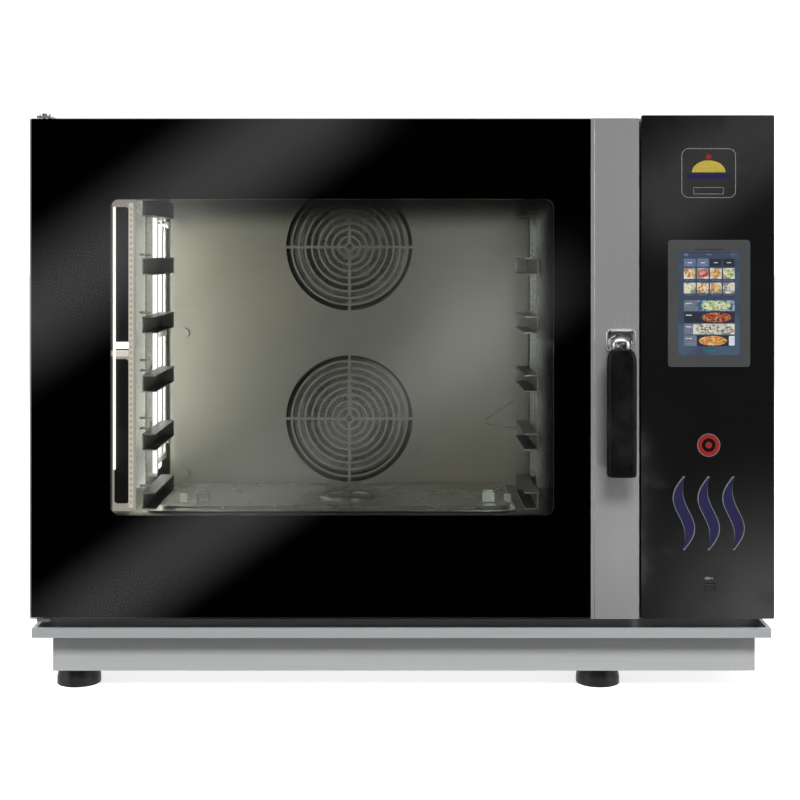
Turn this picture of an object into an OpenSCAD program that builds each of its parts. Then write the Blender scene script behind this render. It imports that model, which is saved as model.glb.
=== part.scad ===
/* [Overall] */
// Overall width across the door and the control fascia
overall_w = 930; // [924:2:940]
// Overall depth from the handle's front to the ends of the rear fittings
overall_d = 830; // [826:2:840]
// Thickness of the casing sheets
sheet_t = 2; // [1.5:0.5:2]

/* [Stand] */
// Height of the four feet
foot_h = 26; // [22:1:30]
// Diameter of a foot
foot_d = 56; // [50:1:58]
// Height of the plinth in front, above the feet
plinth_h = 49.5; // [48:0.5:50]

/* [Door] */
// Height of the door
door_h = 625.5; // [624:0.5:626]
// Thickness of the door without its handle
door_t = 54; // [53:1:54]
// Width of the steel strip that carries the handle
strip_w = 60; // [58:1:62]
// Thickness of each glass pane
pane_t = 6; // [5:0.5:6]
// Corner radius of the door's window
window_r = 11; // [6:1:20]
// How far the handle stands out in front of the door
handle_reach = 52; // [50:1:54]

/* [Cavity] */
// Inside width of the oven cavity
cavity_w = 610; // [606:2:610]
// Inside height of the oven cavity
cavity_h = 500; // [496:2:500]
// Number of tray levels
levels = 6; // [4:1:6]
// Height from one tray level to the next
level_pitch = 80; // [76:1:80]
// Clear width between the tips of the tray supports
tip_to_tip = 504; // [500:2:508]

/* [Fans] */
// Radius of each fan grille in the baffle
grille_r = 102; // [98:1:103]
// Outer radius of each fan wheel
wheel_r = 90; // [84:1:92]
// Number of blades on each fan wheel
wheel_blades = 24; // [12:2:30]
// Number of round slots in each grille
grille_slots = 9; // [6:1:9]

/* [Hidden] */
$fn = 48;
eps = 0.1;
thin_t = 1.5;

// Planes along the depth, front to back
handle_front = -overall_d / 2;
front_y = handle_front + handle_reach;
door_back = front_y + door_t;
casing_front = front_y + 61;
casing_back = overall_d / 2 - 29;
fitting_back = overall_d / 2;
pane_back = front_y + pane_t;
mask_t = 0.5;
mask_back = pane_back + mask_t;

// Heights
plinth_top = foot_h + plinth_h;
tray_z = plinth_top + 0.5;
tray_h = 12;
base_z = tray_z + tray_h + 2;
door_z = base_z + 9.3;
door_top = door_z + door_h;
casing_z = base_z + sheet_t;
casing_top = door_top + 0.2;
fascia_top = door_top + 3.7;

// Widths: the door fills the left, the fascia the right
left_x = -overall_w / 2;
right_x = overall_w / 2;
fascia_w = 166;
fascia_x = right_x - fascia_w;
door_x1 = fascia_x - 3;
strip_x = door_x1 - strip_w;
casing_x0 = left_x + 4;
casing_x1 = right_x - 4;
partition_x = strip_x + 23;

// Window of the door
window_x0 = left_x + 100.5;
window_x1 = strip_x - 46;
window_z0 = door_z + 128.7;
window_z1 = door_top - 101.1;

// Oven cavity
cav_x = -84;
cav_x0 = cav_x - cavity_w / 2;
cav_x1 = cav_x + cavity_w / 2;
cav_z0 = casing_z + 88;
cav_z1 = cav_z0 + cavity_h;
cav_back = casing_front + 564;
liner_t = 2;
wool_t = 25;

// Fans: two wheels behind one baffle, each with its own motor
fan_z = [cav_z0 + 108.4, cav_z1 - 115.3];
baffle_y = cav_back - 95;
baffle_t = 2;
baffle_gap = 17;
slot_pitch = grille_r / (grille_slots + 0.45);
rib_w = 3.2;
wheel_front = baffle_y + 25;
wheel_back = wheel_front + 53;
shaft_r = 7;
run_gap = 0.05;
element_r = 100;
rod_r = 4;
lead_r = 3;
motor_y = cav_back + liner_t + wool_t;
motor_r = 52;
motor_len = 88;

// Hinge of the door: a vertical line near its left edge
hinge_x = left_x + 14.5;
hinge_y = front_y + 20;
pin_r = 5;
bush_r = 9;

// Handle: it turns on a spindle along the depth
knob_x = strip_x + 36;
knob_z = door_z + 347.7;
spindle_r = 8;
grip_w = 36.5;
grip_x = knob_x - 4;
grip_z0 = knob_z - 164;
grip_z1 = knob_z - 7.5;
grip_back = handle_front + 23;
arm_len = 26;

// Light bar between the panes of the door
light_x = window_x0 + 21.5;
air_slot_l = 300;
air_slot_w = 16;
air_slot_y = mask_back + 12;
light_z0 = window_z0 + 8;
light_z1 = window_z1 - 6.7;

// Tray racks: a frame and C-shaped supports on each side
rack_in = 292;
rod_d = 6;
rack_y0 = casing_front + 21;
rack_y1 = casing_front + 435;
rack_z0 = cav_z0 + 50;
rack_z1 = cav_z0 + 449.5;
rail_h = 23;
rail_t = 1.5;
rail_depth = 18.5;
rail_y0 = casing_front + 112;
rail_y1 = casing_front + 272;
rail_tip = tip_to_tip / 2;
rail_web = rail_tip + rail_depth;
top_rail_z = cav_z0 + 449;
stud_y = [rack_y0 + 11, rack_y1 - 13];
stud_z = [cav_z0 + 80, cav_z0 + 420];
stud_r = 4;

// Control fascia
screen_x0 = fascia_x + 33;
screen_x1 = fascia_x + 135.5;
screen_z0 = door_z + 314.7;
screen_z1 = door_z + 473.2;
bezel_rim = [13, 15];
usb_x = fascia_x + 85.5;
usb_z = door_z + 39.7;
usb_w = 15;
usb_h = 10;

// Services at the back
drain_y = casing_front + 362;
drain_z = casing_z + 33;
drain_r = 20;
steam_y = baffle_y + 48;
steam_z = cav_z0 + 262;
vent_x = 60;
vent_y = cav_back - 45;
vent_r = 25;
vent_top = casing_top + 40;
damper_z = casing_top + 8;
vent_neck = 16;
pipe_r = vent_r - 1;
damper_r = pipe_r - thin_t - 0.7;
inlet_x = [330, 390];
inlet_z = casing_z + 68;
inlet_r = 13;
gland_x = 425;
gland_z = casing_z + 128;
gland_r = 8;
blower_x = 360;
blower_z = casing_z + 528;
blower_w = 120;
blower_t = 38;

// A block between two corners
module block(x0, x1, y0, y1, z0, z1)
    translate([x0, y0, z0]) cube([x1 - x0, y1 - y0, z1 - z0]);

// A round bar along X, Y or Z that starts at p
module bar_x(p, r, len) translate(p) rotate([0, 90, 0]) cylinder(r = r, h = len);
module bar_y(p, r, len) translate(p) rotate([-90, 0, 0]) cylinder(r = r, h = len);
module bar_z(p, r, len) translate(p) cylinder(r = r, h = len);

// A rectangle with round corners
module round_rect(x0, x1, z0, z1, r) {
    translate([x0 + r, z0]) square([x1 - x0 - 2 * r, z1 - z0]);
    translate([x0, z0 + r]) square([x1 - x0, z1 - z0 - 2 * r]);
    for (x = [x0 + r, x1 - r], z = [z0 + r, z1 - r]) translate([x, z]) circle(r = r);
}

// A plate that stands upright, from its outline in X and Z, between two depths
module upright(y0, y1)
    translate([0, y1, 0]) rotate([90, 0, 0]) linear_extrude(height = y1 - y0) children();

// A row of round-ended vent slots in a sheet that faces along Y
module vent_row_y(x, z, y, count, pitch, len)
    for (i = [0 : count - 1])
        upright(y - sheet_t, y + 2 * sheet_t)
            round_rect(x - len / 2, x + len / 2, z + i * pitch, z + i * pitch + 5, 2.4);

module mirrored_in_cavity() translate([2 * cav_x, 0, 0]) mirror([1, 0, 0]) children();

// ---- stand and casing ----
module plinth() color([0.68, 0.69, 0.7]) difference() {
    x0 = left_x + 22;
    x1 = right_x - 17;
    y0 = front_y + 30;
    y1 = casing_back - 16;
    union() {
        block(x0, x1, y0, casing_front + 2, foot_h, plinth_top);
        block(x0, x1, casing_front + 2, y1, foot_h, base_z);
    }
    block(x0 + sheet_t, x1 - sheet_t, y0 + sheet_t, casing_front + 132, foot_h + sheet_t, plinth_top - thin_t);
    block(x0 + sheet_t, x1 - sheet_t, casing_front + 132 - eps, y1 - sheet_t, foot_h + sheet_t, base_z + eps);
    block(x0 + sheet_t, x1 - sheet_t, casing_front + 2 - eps, casing_front + 132, plinth_top, base_z + eps);
    for (x = foot_xs(), y = foot_ys()) bar_z([x, y, foot_h - eps], 6, sheet_t + 2 * eps);
}

function foot_xs() = [left_x + 46, right_x - 211];
function foot_ys() = [casing_front + 12, casing_back - 60];

module foot() {
    rubber_h = foot_h - 8;
    cylinder(r = foot_d / 2, h = 8);
    translate([0, 0, 8]) cylinder(r1 = foot_d / 2, r2 = foot_d / 2 - 3, h = rubber_h - 2);
    cylinder(r = foot_d / 2 - 6, h = foot_h);
    cylinder(r = 6, h = foot_h + 20);
}

module feet() color([0.05, 0.05, 0.05])
    for (x = foot_xs(), y = foot_ys()) translate([x, y, 0]) foot();

module base_plate() color([0.6, 0.61, 0.62])
    block(casing_x0, casing_x1, casing_front, casing_back, base_z, casing_z);

module side_sheet(x) {
    block(x, x + thin_t, casing_front + sheet_t, casing_back - sheet_t, casing_z, casing_top - sheet_t);
}

module left_side_panel() color([0.7, 0.71, 0.72]) side_sheet(casing_x0);

module right_side_panel() color([0.7, 0.71, 0.72]) difference() {
    side_sheet(casing_x1 - thin_t);
    louvre_l = 90;
    louvre_h = 5;
    // two columns of louvres, low on the side of the control bay
    for (i = [0 : 11], y = [60, 170]) {
        z = casing_z + 50 + 14 * i;
        block(casing_x1 - 4, casing_x1 + 2, y, y + louvre_l, z, z + louvre_h);
    }
}

module top_cover() color([0.7, 0.71, 0.72]) difference() {
    block(casing_x0, casing_x1, casing_front, casing_back, casing_top - sheet_t, casing_top);
    bar_z([vent_x, vent_y, casing_top - 2 * sheet_t], pipe_r + 0.3, 4 * sheet_t);
}

module rear_panel() color([0.66, 0.67, 0.68]) difference() {
    block(casing_x0, casing_x1, casing_back - sheet_t, casing_back, casing_z, casing_top - sheet_t);
    bar_y([cav_x, casing_back - 5, drain_z], drain_r + 0.3, 10);
    for (x = inlet_x) bar_y([x, casing_back - 5, inlet_z], inlet_r + 0.3, 10);
    bar_y([gland_x, casing_back - 5, gland_z], 11, 10);
    vent_row_y(blower_x, blower_z - 46, casing_back - sheet_t, 9, 11, 96);
    for (z = fan_z) vent_row_y(cav_x, z - 30, casing_back - sheet_t, 6, 12, 120);
}

module front_frame() color([0.64, 0.65, 0.66]) difference() {
    block(casing_x0, casing_x1, casing_front, casing_front + sheet_t, casing_z, casing_top - sheet_t);
    block(cav_x0, cav_x1, casing_front - 1, casing_front + 5, cav_z0, cav_z1);
    block(fascia_x + 16, right_x - 15, casing_front - 1, casing_front + 5, casing_z + 20, casing_top - 20);
    bar_y([knob_x, casing_front - 1, knob_z], 30, 5);
}

module bay_partition() color([0.6, 0.61, 0.62])
    block(partition_x, partition_x + thin_t, casing_front + sheet_t, casing_back - sheet_t,
          casing_z, casing_top - sheet_t);

// ---- oven cavity ----
module cavity_liner() color([0.45, 0.47, 0.44]) difference() {
    block(cav_x0 - liner_t, cav_x1 + liner_t, casing_front + sheet_t, cav_back + liner_t,
          cav_z0 - liner_t, cav_z1 + liner_t);
    block(cav_x0, cav_x1, casing_front, cav_back, cav_z0, cav_z1);
    for (z = fan_z) {
        bar_y([cav_x, cav_back - 1, z], 12, 5);
        for (x = lead_xs()) bar_y([x, cav_back - 1, z + lead_dz()], lead_r + 0.2, 5);
    }
    bar_z([cav_x, drain_y, cav_z0 - 5], drain_r - 3, 10);
    bar_z([vent_x, vent_y, cav_z1 - 1], pipe_r + 0.2, 5);
    bar_x([cav_x1 - 1, steam_y, steam_z], rod_r + 0.2, 5);
    for (y = stud_y, z = stud_z) bar_x([cav_x0 - 5, y, z], stud_r - 1, cavity_w + 10);
}

module cavity_insulation() color([0.85, 0.8, 0.6]) difference() {
    block(cav_x0 - liner_t - wool_t, cav_x1 + liner_t + wool_t, casing_front + sheet_t, cav_back + liner_t + wool_t,
          cav_z0 - liner_t - wool_t, cav_z1 + liner_t + wool_t);
    block(cav_x0 - liner_t, cav_x1 + liner_t, casing_front, cav_back + liner_t, cav_z0 - liner_t, cav_z1 + liner_t);
    for (z = fan_z) {
        bar_y([cav_x, cav_back, z], 14, wool_t + 5);
        for (x = lead_xs()) bar_y([x, cav_back, z + lead_dz()], lead_r + 0.4, wool_t + 5);
    }
    bar_z([cav_x, drain_y, cav_z0 - 50], drain_r + 0.4, 60);
    bar_z([vent_x, vent_y, cav_z1], pipe_r + 0.4, 60);
    bar_x([cav_x1, steam_y, steam_z], rod_r + 0.4, 40);
    for (y = stud_y, z = stud_z) bar_x([cav_x0 - 40, y, z], stud_r + 3, cavity_w + 80);
}

module door_gasket() color([0.08, 0.08, 0.08]) upright(casing_front - 5.5, casing_front) difference() {
    round_rect(cav_x0 - 23, cav_x1 + 23, cav_z0 - 23, cav_z1 + 23, 20);
    round_rect(cav_x0 - 11, cav_x1 + 11, cav_z0 - 11, cav_z1 + 11, 10);
}

// One round grille: rings of metal between round slots, held by a cross of ribs
module grille_cut() difference() {
    union() {
        for (i = [0 : grille_slots - 1]) difference() {
            circle(r = grille_r - i * slot_pitch);
            circle(r = grille_r - (i + 1) * slot_pitch + rib_w);
        }
        circle(r = 5);
    }
    for (a = [0, 90]) rotate(a) difference() {
        square([2 * grille_r, rib_w + 1], center = true);
        circle(r = 5);
    }
}

module fan_baffle() color([0.5, 0.52, 0.48]) {
    x0 = cav_x0 + baffle_gap;
    x1 = cav_x1 - baffle_gap;
    upright(baffle_y, baffle_y + baffle_t) difference() {
        round_rect(x0, x1, cav_z0 + 1, cav_z1 - 1, 8);
        for (z = fan_z) translate([cav_x, z]) grille_cut();
        for (x = screw_xs(), z = screw_zs()) translate([x, z]) circle(r = 4.2);
    }
}

function screw_xs() = [cav_x0 + baffle_gap + 22, cav_x1 - baffle_gap - 22];
function screw_zs() = [cav_z0 + 20, cav_z0 + 246.5, cav_z1 - 20];

// Captive screws in distance sleeves that stand on the cavity's rear wall
module baffle_screws() color([0.75, 0.75, 0.76])
    for (x = screw_xs(), z = screw_zs()) {
        bar_y([x, baffle_y - 4, z], 8, 4);
        bar_y([x, baffle_y - eps, z], 4, cav_back - baffle_y + eps);
        bar_y([x, baffle_y + baffle_t, z], 7, cav_back - baffle_y - baffle_t);
    }

function lead_xs() = [cav_x + 20, cav_x - 20];
function lead_dz() = sqrt(pow(element_r, 2) - pow(20, 2));

// Three rings of tube joined by short links, with two leads through the rear wall
module element(z) color([0.3, 0.28, 0.27]) {
    rings = [wheel_front + 8, wheel_front + 22, wheel_front + 36];
    for (y = rings)
        translate([cav_x, y, z]) rotate([90, 0, 0]) rotate_extrude() translate([element_r, 0]) circle(r = rod_r);
    for (x = lead_xs()) bar_y([x, rings[0], z + lead_dz()], lead_r, motor_y + 14 - rings[0]);
}
module upper_heating_element() element(fan_z[1]);
module lower_heating_element() element(fan_z[0]);

module fan_motor(z) color([0.25, 0.26, 0.28]) difference() {
    union() {
        block(cav_x - 62, cav_x + 62, motor_y, motor_y + 4, z - 62, z + 62);
        bar_y([cav_x, motor_y + 4 - eps, z], motor_r, motor_len - 4);
        // cooling fins round the motor's body
        for (a = [0 : 30 : 330]) translate([cav_x, 0, z]) rotate([0, a, 0])
            block(-2, 2, motor_y + 12, motor_y + motor_len - 10, motor_r - 2, motor_r + 5);
    }
    bar_y([cav_x, motor_y - 1, z], shaft_r + run_gap, motor_len - 12);
}
module upper_fan_motor() fan_motor(fan_z[1]);
module lower_fan_motor() fan_motor(fan_z[0]);

// A wheel with straight blades between a back disc and a front ring
module fan_wheel(z) color([0.6, 0.61, 0.62]) translate([cav_x, 0, z]) difference() {
    union() {
        bar_y([0, wheel_back - 2, 0], wheel_r, 2);
        difference() {
            bar_y([0, wheel_front, 0], wheel_r, 2);
            bar_y([0, wheel_front - 1, 0], wheel_r - 18, 4);
        }
        for (i = [0 : wheel_blades - 1])
            rotate([0, i * 360 / wheel_blades, 0])
                translate([0, 0, wheel_r - 11]) rotate([0, 35, 0])
                    block(-0.8, 0.8, wheel_front + 1, wheel_back - 1, -9, 9);
        bar_y([0, wheel_back - 24, 0], 20, 28);
        bar_y([0, wheel_back - 30, 0], 11, 8);
    }
    bar_y([0, wheel_back - 22, 0], shaft_r, 40);
}
module upper_fan_wheel() fan_wheel(fan_z[1]);
module lower_fan_wheel() fan_wheel(fan_z[0]);

module fan_shaft(z) color([0.7, 0.7, 0.7])
    bar_y([cav_x, wheel_back - 22, z], shaft_r, motor_y + motor_len - 15 - wheel_back + 22);
module upper_fan_shaft() fan_shaft(fan_z[1]);
module lower_fan_shaft() fan_shaft(fan_z[0]);

// Steam and wash water enter between the fans and leave by two short nozzles
module steam_pipe() color([0.7, 0.71, 0.72]) {
    bar_x([cav_x - rod_r, steam_y, steam_z], rod_r, partition_x - cav_x);
    bar_z([cav_x, steam_y, steam_z - 20], 3, 32);
}

module rack_studs() color([0.75, 0.75, 0.76]) {
    for (side = [0, 1]) {
        if (side == 0) stud_set();
        else mirrored_in_cavity() stud_set();
    }
}
module stud_set()
    for (y = stud_y, z = stud_z) {
        bar_x([cav_x0, y, z], stud_r, 19);
        bar_x([cav_x0 + 18.5, y, z], stud_r + 2.5, 3);
        bar_x([cav_x0 - liner_t - 2, y, z], stud_r - 1, liner_t + 3);
        bar_x([cav_x0 - liner_t - 4, y, z], stud_r + 2, 4);
    }

// A ring with crossed bars that sits over the drain
module drain_filter() color([0.55, 0.56, 0.55]) {
    bar_w = 4;
    difference() {
        bar_z([cav_x, drain_y, cav_z0], 42, 5);
        bar_z([cav_x, drain_y, cav_z0 - 1], 34, 7);
    }
    block(cav_x - 35, cav_x + 35, drain_y - bar_w / 2, drain_y + bar_w / 2, cav_z0 + 2, cav_z0 + 5);
    block(cav_x - bar_w / 2, cav_x + bar_w / 2, drain_y - 35, drain_y + 35, cav_z0 + 2, cav_z0 + 5);
}

module drain_pipe() color([0.2, 0.2, 0.21]) difference() {
    union() {
        bar_z([cav_x, drain_y, drain_z - drain_r], drain_r - 1, cav_z0 - liner_t - drain_z + drain_r);
        bar_y([cav_x, drain_y, drain_z], drain_r - 1, fitting_back - drain_y);
        bar_y([cav_x, casing_back, drain_z], drain_r, fitting_back - casing_back);
    }
    bar_z([cav_x, drain_y, drain_z - 12], drain_r - 3, 200);
    bar_y([cav_x, drain_y, drain_z], drain_r - 3, 400);
}

// ---- control fascia ----
module fascia_housing() color([0.06, 0.06, 0.07]) difference() {
    x0 = fascia_x + 2;
    x1 = right_x - 2;
    block(x0, x1, front_y + 5, casing_front, door_z + 2, fascia_top - 2);
    block(x0 + thin_t, x1 - thin_t, front_y + 4, casing_front + 1, door_z + 2 + thin_t, fascia_top - 2 - thin_t);
}

module fascia_glass() color([0.02, 0.02, 0.025]) upright(front_y, front_y + 5) difference() {
    round_rect(fascia_x, right_x, door_z, fascia_top, 2);
    round_rect(screen_x0 + 1, screen_x1 - 1, screen_z0 + 1, screen_z1 - 1, 3);
    translate([usb_x - usb_w / 2, usb_z - usb_h / 2]) square([usb_w, usb_h]);
}

module display_bezel() color([0.27, 0.28, 0.27]) difference() {
    union() {
        upright(front_y - 1.5, front_y) round_rect(screen_x0, screen_x1, screen_z0, screen_z1, 4);
        upright(front_y - eps, front_y + 8) round_rect(screen_x0 + 1, screen_x1 - 1, screen_z0 + 1, screen_z1 - 1, 3);
    }
    block(screen_x0 + bezel_rim[0], screen_x1 - bezel_rim[0], front_y - 3, front_y + 9,
          screen_z0 + bezel_rim[1], screen_z1 - bezel_rim[1]);
}

module display_panel() color([0.35, 0.45, 0.55])
    block(screen_x0 + bezel_rim[0], screen_x1 - bezel_rim[0], front_y - 0.5, front_y + 7,
          screen_z0 + bezel_rim[1], screen_z1 - bezel_rim[1]);

module control_board() color([0.1, 0.35, 0.2]) {
    board_y = front_y + 20;
    board_t = 1.6;
    block(screen_x0 - 5, screen_x1 + 5, board_y, board_y + board_t, screen_z0 - 40, screen_z1 + 10);
    // a row of four tall parts
    for (x = [screen_x0 + 8 : 24 : screen_x0 + 80])
        block(x, x + 14, board_y + board_t, board_y + 10, screen_z0 + 20, screen_z0 + 50);
    // pillars that hold the board off the housing
    for (x = [screen_x0, screen_x1], z = [screen_z0 - 30, screen_z1])
        bar_y([x, board_y - 12, z], 3, 12);
}

module power_board() color([0.1, 0.3, 0.2]) {
    x = partition_x + thin_t;
    face_x = x + 10;
    y0 = -120;
    y1 = 90;
    z0 = casing_z + 300;
    z1 = casing_z + 560;
    block(face_x - 2, face_x, y0, y1, z0, z1);
    for (y = [y0 + 10, y1 - 10], z = [z0 + 10, z1 - 10]) bar_x([x, y, z], 4, 9);
    // a row of relays below three tall capacitors
    for (i = [0 : 4]) block(face_x, face_x + 35, y0 + 15 + 38 * i, y0 + 40 + 38 * i, z0 + 30, z0 + 75);
    for (i = [0 : 2]) block(face_x, face_x + 50, y0 + 30 + 60 * i, y0 + 70 + 60 * i, z0 + 120, z0 + 210);
}

module usb_socket() color([0.5, 0.5, 0.5]) difference() {
    block(usb_x - 7, usb_x + 7, front_y + 3, front_y + 18, usb_z - 4.5, usb_z + 3.2);
    block(usb_x - 6, usb_x + 6, front_y + 2, front_y + 15, usb_z - 3, usb_z + 2);
}

// A flap that hangs over the socket from a pin along its top edge
module usb_cover() color([0.1, 0.1, 0.11]) {
    block(usb_x - usb_w / 2 + 0.5, usb_x + usb_w / 2 - 0.5, front_y - 1, front_y + 1,
          usb_z - usb_h / 2 + 0.5, usb_z + usb_h / 2 - 1.5);
    bar_x([usb_x - usb_w / 2 + 0.5, front_y, usb_z + usb_h / 2 - 1.9], 1, usb_w - 1);
}

// ---- cooling and services ----
module cooling_fan_frame() color([0.1, 0.1, 0.1]) difference() {
    h = blower_w / 2;
    y1 = casing_back - sheet_t;
    y0 = y1 - blower_t;
    block(blower_x - h, blower_x + h, y0, y1, blower_z - h, blower_z + h);
    difference() {
        bar_y([blower_x, y0 - 1, blower_z], h - 3, blower_t + 2);
        bar_y([blower_x, y0, blower_z], 21, 5);
        for (a = [0 : 90 : 270])
            translate([blower_x, 0, blower_z]) rotate([0, a + 45, 0]) block(-2.5, 2.5, y0, y0 + 4, 0, h);
    }
    bar_y([blower_x, y0 - 1, blower_z], 2.55, 8);
}

module cooling_fan_rotor() color([0.15, 0.15, 0.16]) {
    y0 = casing_back - sheet_t - blower_t;
    translate([blower_x, 0, blower_z]) {
        bar_y([0, y0 + 7, 0], 22, 24);
        bar_y([0, y0 + 1, 0], 2.5, 10);
        for (i = [0 : 6]) rotate([0, i * 360 / 7, 0])
            translate([0, y0 + 19, 20]) rotate([0, 0, 38]) translate([-12, -1, 0]) cube([24, 2, 33]);
    }
}

module vent_pipe() color([0.7, 0.71, 0.72]) difference() {
    union() {
        bar_z([vent_x, vent_y, cav_z1], pipe_r, vent_top - cav_z1);
        bar_z([vent_x, vent_y, casing_top], vent_r - 0.6, vent_neck + eps);
        bar_z([vent_x, vent_y, casing_top + vent_neck], vent_r, vent_top - casing_top - vent_neck);
    }
    bar_z([vent_x, vent_y, cav_z1 - 1], pipe_r - thin_t, vent_top - cav_z1 + 2);
    bar_x([vent_x - 40, vent_y, damper_z], 3 + run_gap, 80);
}

module vent_damper() color([0.6, 0.61, 0.62]) {
    bar_z([vent_x, vent_y, damper_z - 1], damper_r, 2);
    bar_x([vent_x - vent_r - 1, vent_y, damper_z], 3, 2 * vent_r + 12);
}

module damper_motor() color([0.15, 0.15, 0.16]) difference() {
    union() {
        block(vent_x + vent_r + 4, vent_x + vent_r + 46, vent_y - 22, vent_y + 22, casing_top, casing_top + 36);
        block(vent_x + vent_r + 4, vent_x + vent_r + 46, vent_y - 32, vent_y + 32, casing_top, casing_top + 3);
    }
    bar_x([vent_x + vent_r, vent_y, damper_z], 3 + run_gap, 20);
}

module water_inlets() color([0.75, 0.62, 0.3]) for (x = inlet_x) difference() {
    union() {
        block(x - 20, x + 20, casing_back - 52, casing_back - sheet_t, inlet_z - 22, inlet_z + 22);
        bar_y([x, casing_back - sheet_t - eps, inlet_z], inlet_r - 1, sheet_t + 2 * eps);
        bar_y([x, casing_back, inlet_z], inlet_r, fitting_back - casing_back);
        bar_y([x, casing_back - 88, inlet_z], 14, 36 + eps);
    }
    bar_y([x, casing_back - 30, inlet_z], inlet_r - 4, 80);
}

module cable_gland() color([0.12, 0.12, 0.13]) difference() {
    union() {
        bar_y([gland_x, casing_back - 12, gland_z], 10.8, 14);
        bar_y([gland_x, casing_back, gland_z], 15, 10);
        bar_y([gland_x, casing_back - 4, gland_z], 15.5, 2);
        bar_y([gland_x, casing_back + 10, gland_z], 13, 14);
    }
    bar_y([gland_x, casing_back - 20, gland_z], gland_r, 60);
}

// ---- door hinge and latch ----
module hinge_brackets() color([0.55, 0.56, 0.57]) {
    w = 17;
    x0 = hinge_x - w / 2;
    difference() {
        union() {
            block(x0, x0 + w, casing_front, casing_front + 50, casing_top, casing_top + 4);
            block(x0, x0 + w, hinge_y - 9, casing_front + 50, casing_top + 1, casing_top + 4);
        }
        bar_z([hinge_x, hinge_y, casing_top - 1], pin_r, 10);
    }
    difference() {
        union() {
            block(x0, x0 + w, hinge_y - 9, casing_front, door_z - 6.3, door_z - 2.3);
            block(x0, x0 + w, casing_front - 3, casing_front, door_z - 6.3, door_z + 30);
        }
        bar_z([hinge_x, hinge_y, door_z - 10], pin_r, 10);
    }
}

module hinge_pins() color([0.75, 0.75, 0.76]) {
    bar_z([hinge_x, hinge_y, door_top - 25], pin_r, casing_top + 5 - door_top + 25);
    bar_z([hinge_x, hinge_y, casing_top + 4], pin_r + 2.2, 3);
    bar_z([hinge_x, hinge_y, door_z - 7.6], pin_r, 32);
}

module hinge_bushes() color([0.8, 0.8, 0.78]) {
    difference() {
        bar_z([hinge_x, hinge_y, door_top - 27], bush_r, 26);
        bar_z([hinge_x, hinge_y, door_top - 40], pin_r + run_gap, 60);
    }
    difference() {
        bar_z([hinge_x, hinge_y, door_z + 1], bush_r, 27);
        bar_z([hinge_x, hinge_y, door_z - 5], pin_r + run_gap, 60);
    }
}

// The roller stands just beyond the end of the latch arm, on a bracket behind the front frame
module door_strike() color([0.65, 0.66, 0.67]) {
    z = knob_z + arm_len + 4;
    y = casing_front + 8;
    bar_x([knob_x - 9, y, z], 3, 18);
    for (x = [knob_x - 10, knob_x + 7]) block(x, x + 3, casing_front + sheet_t, y + 5, z - 1, z + 18);
    block(knob_x - 10, knob_x + 10, casing_front + sheet_t, casing_front + sheet_t + 2, z + 6, z + 18);
}

// ---- door ----
module door_frame() color([0.35, 0.36, 0.37]) difference() {
    x0 = left_x + 3;
    x1 = door_x1 - 2.5;
    z0 = door_z + 2.5;
    z1 = door_top - 2.5;
    block(x0, x1, mask_back, door_back, z0, z1);
    block(x0 + thin_t, x1 - thin_t, mask_back - 1, door_back - thin_t, z0 + thin_t, z1 - thin_t);
    upright(door_back - 5, door_back + 1) round_rect(cav_x0 - 9, cav_x1 + 9, cav_z0 - 9, cav_z1 + 9, 10);
    bar_z([hinge_x, hinge_y, z0 - 5], bush_r, 10);
    bar_z([hinge_x, hinge_y, z1 - 5], bush_r, 10);
    bar_y([knob_x, door_back - 5, knob_z], spindle_r + 0.4, 10);
    // slots through the lower and upper edges, so that air can rise between the panes
    for (z = [z0 - 1, z1 - thin_t - 1])
        block(cav_x - air_slot_l / 2, cav_x + air_slot_l / 2, air_slot_y, air_slot_y + air_slot_w, z, z + thin_t + 2);
}

module door_outer_glass() color([0.03, 0.03, 0.035, 0.6])
    upright(front_y, pane_back) round_rect(left_x, strip_x, door_z, door_top, 2);

module door_glass_mask() color([0.01, 0.01, 0.01]) upright(pane_back, mask_back) difference() {
    round_rect(left_x + 0.5, strip_x, door_z + 0.5, door_top - 0.5, 2);
    round_rect(window_x0, window_x1, window_z0, window_z1, window_r);
}

module door_inner_glass() color([0.5, 0.6, 0.6, 0.4])
    upright(door_back - thin_t - pane_t, door_back - thin_t)
        round_rect(cav_x0 - 20, cav_x1 + 17, cav_z0 - 20, cav_z1 + 20, 8);

module door_handle_strip() color([0.6, 0.61, 0.62]) difference() {
    union() {
        block(strip_x, door_x1, front_y, front_y + thin_t, door_z, door_top);
        block(strip_x, strip_x + thin_t, front_y, mask_back, door_z, door_top);
        block(door_x1 - thin_t, door_x1, front_y, door_back, door_z, door_top);
        for (z = [door_z, door_top - thin_t]) block(strip_x, door_x1, front_y, door_back, z, z + thin_t);
    }
    bar_y([knob_x, front_y - 5, knob_z], spindle_r + run_gap, 10);
}

module door_light_bar() color([0.9, 0.95, 1]) {
    y0 = mask_back + 18;
    block(light_x, light_x + 9, y0, y0 + 10, light_z0, light_z1);
    for (z = [light_z0, (light_z0 + light_z1) / 2, light_z1 - 9])
        block(light_x - 42, light_x + eps, y0 + 2, y0 + 6, z, z + 9);
    block(light_x - 44, light_x - 32, mask_back, y0 + 6, light_z0 - 8, light_z1 + 8);
}

module handle_escutcheon() color([0.8, 0.8, 0.82]) difference() {
    upright(front_y - 4, front_y) round_rect(knob_x - 18, knob_x + 20, knob_z - 14, knob_z + 15, 12);
    bar_y([knob_x, front_y - 10, knob_z], spindle_r + run_gap, 20);
}

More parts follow.
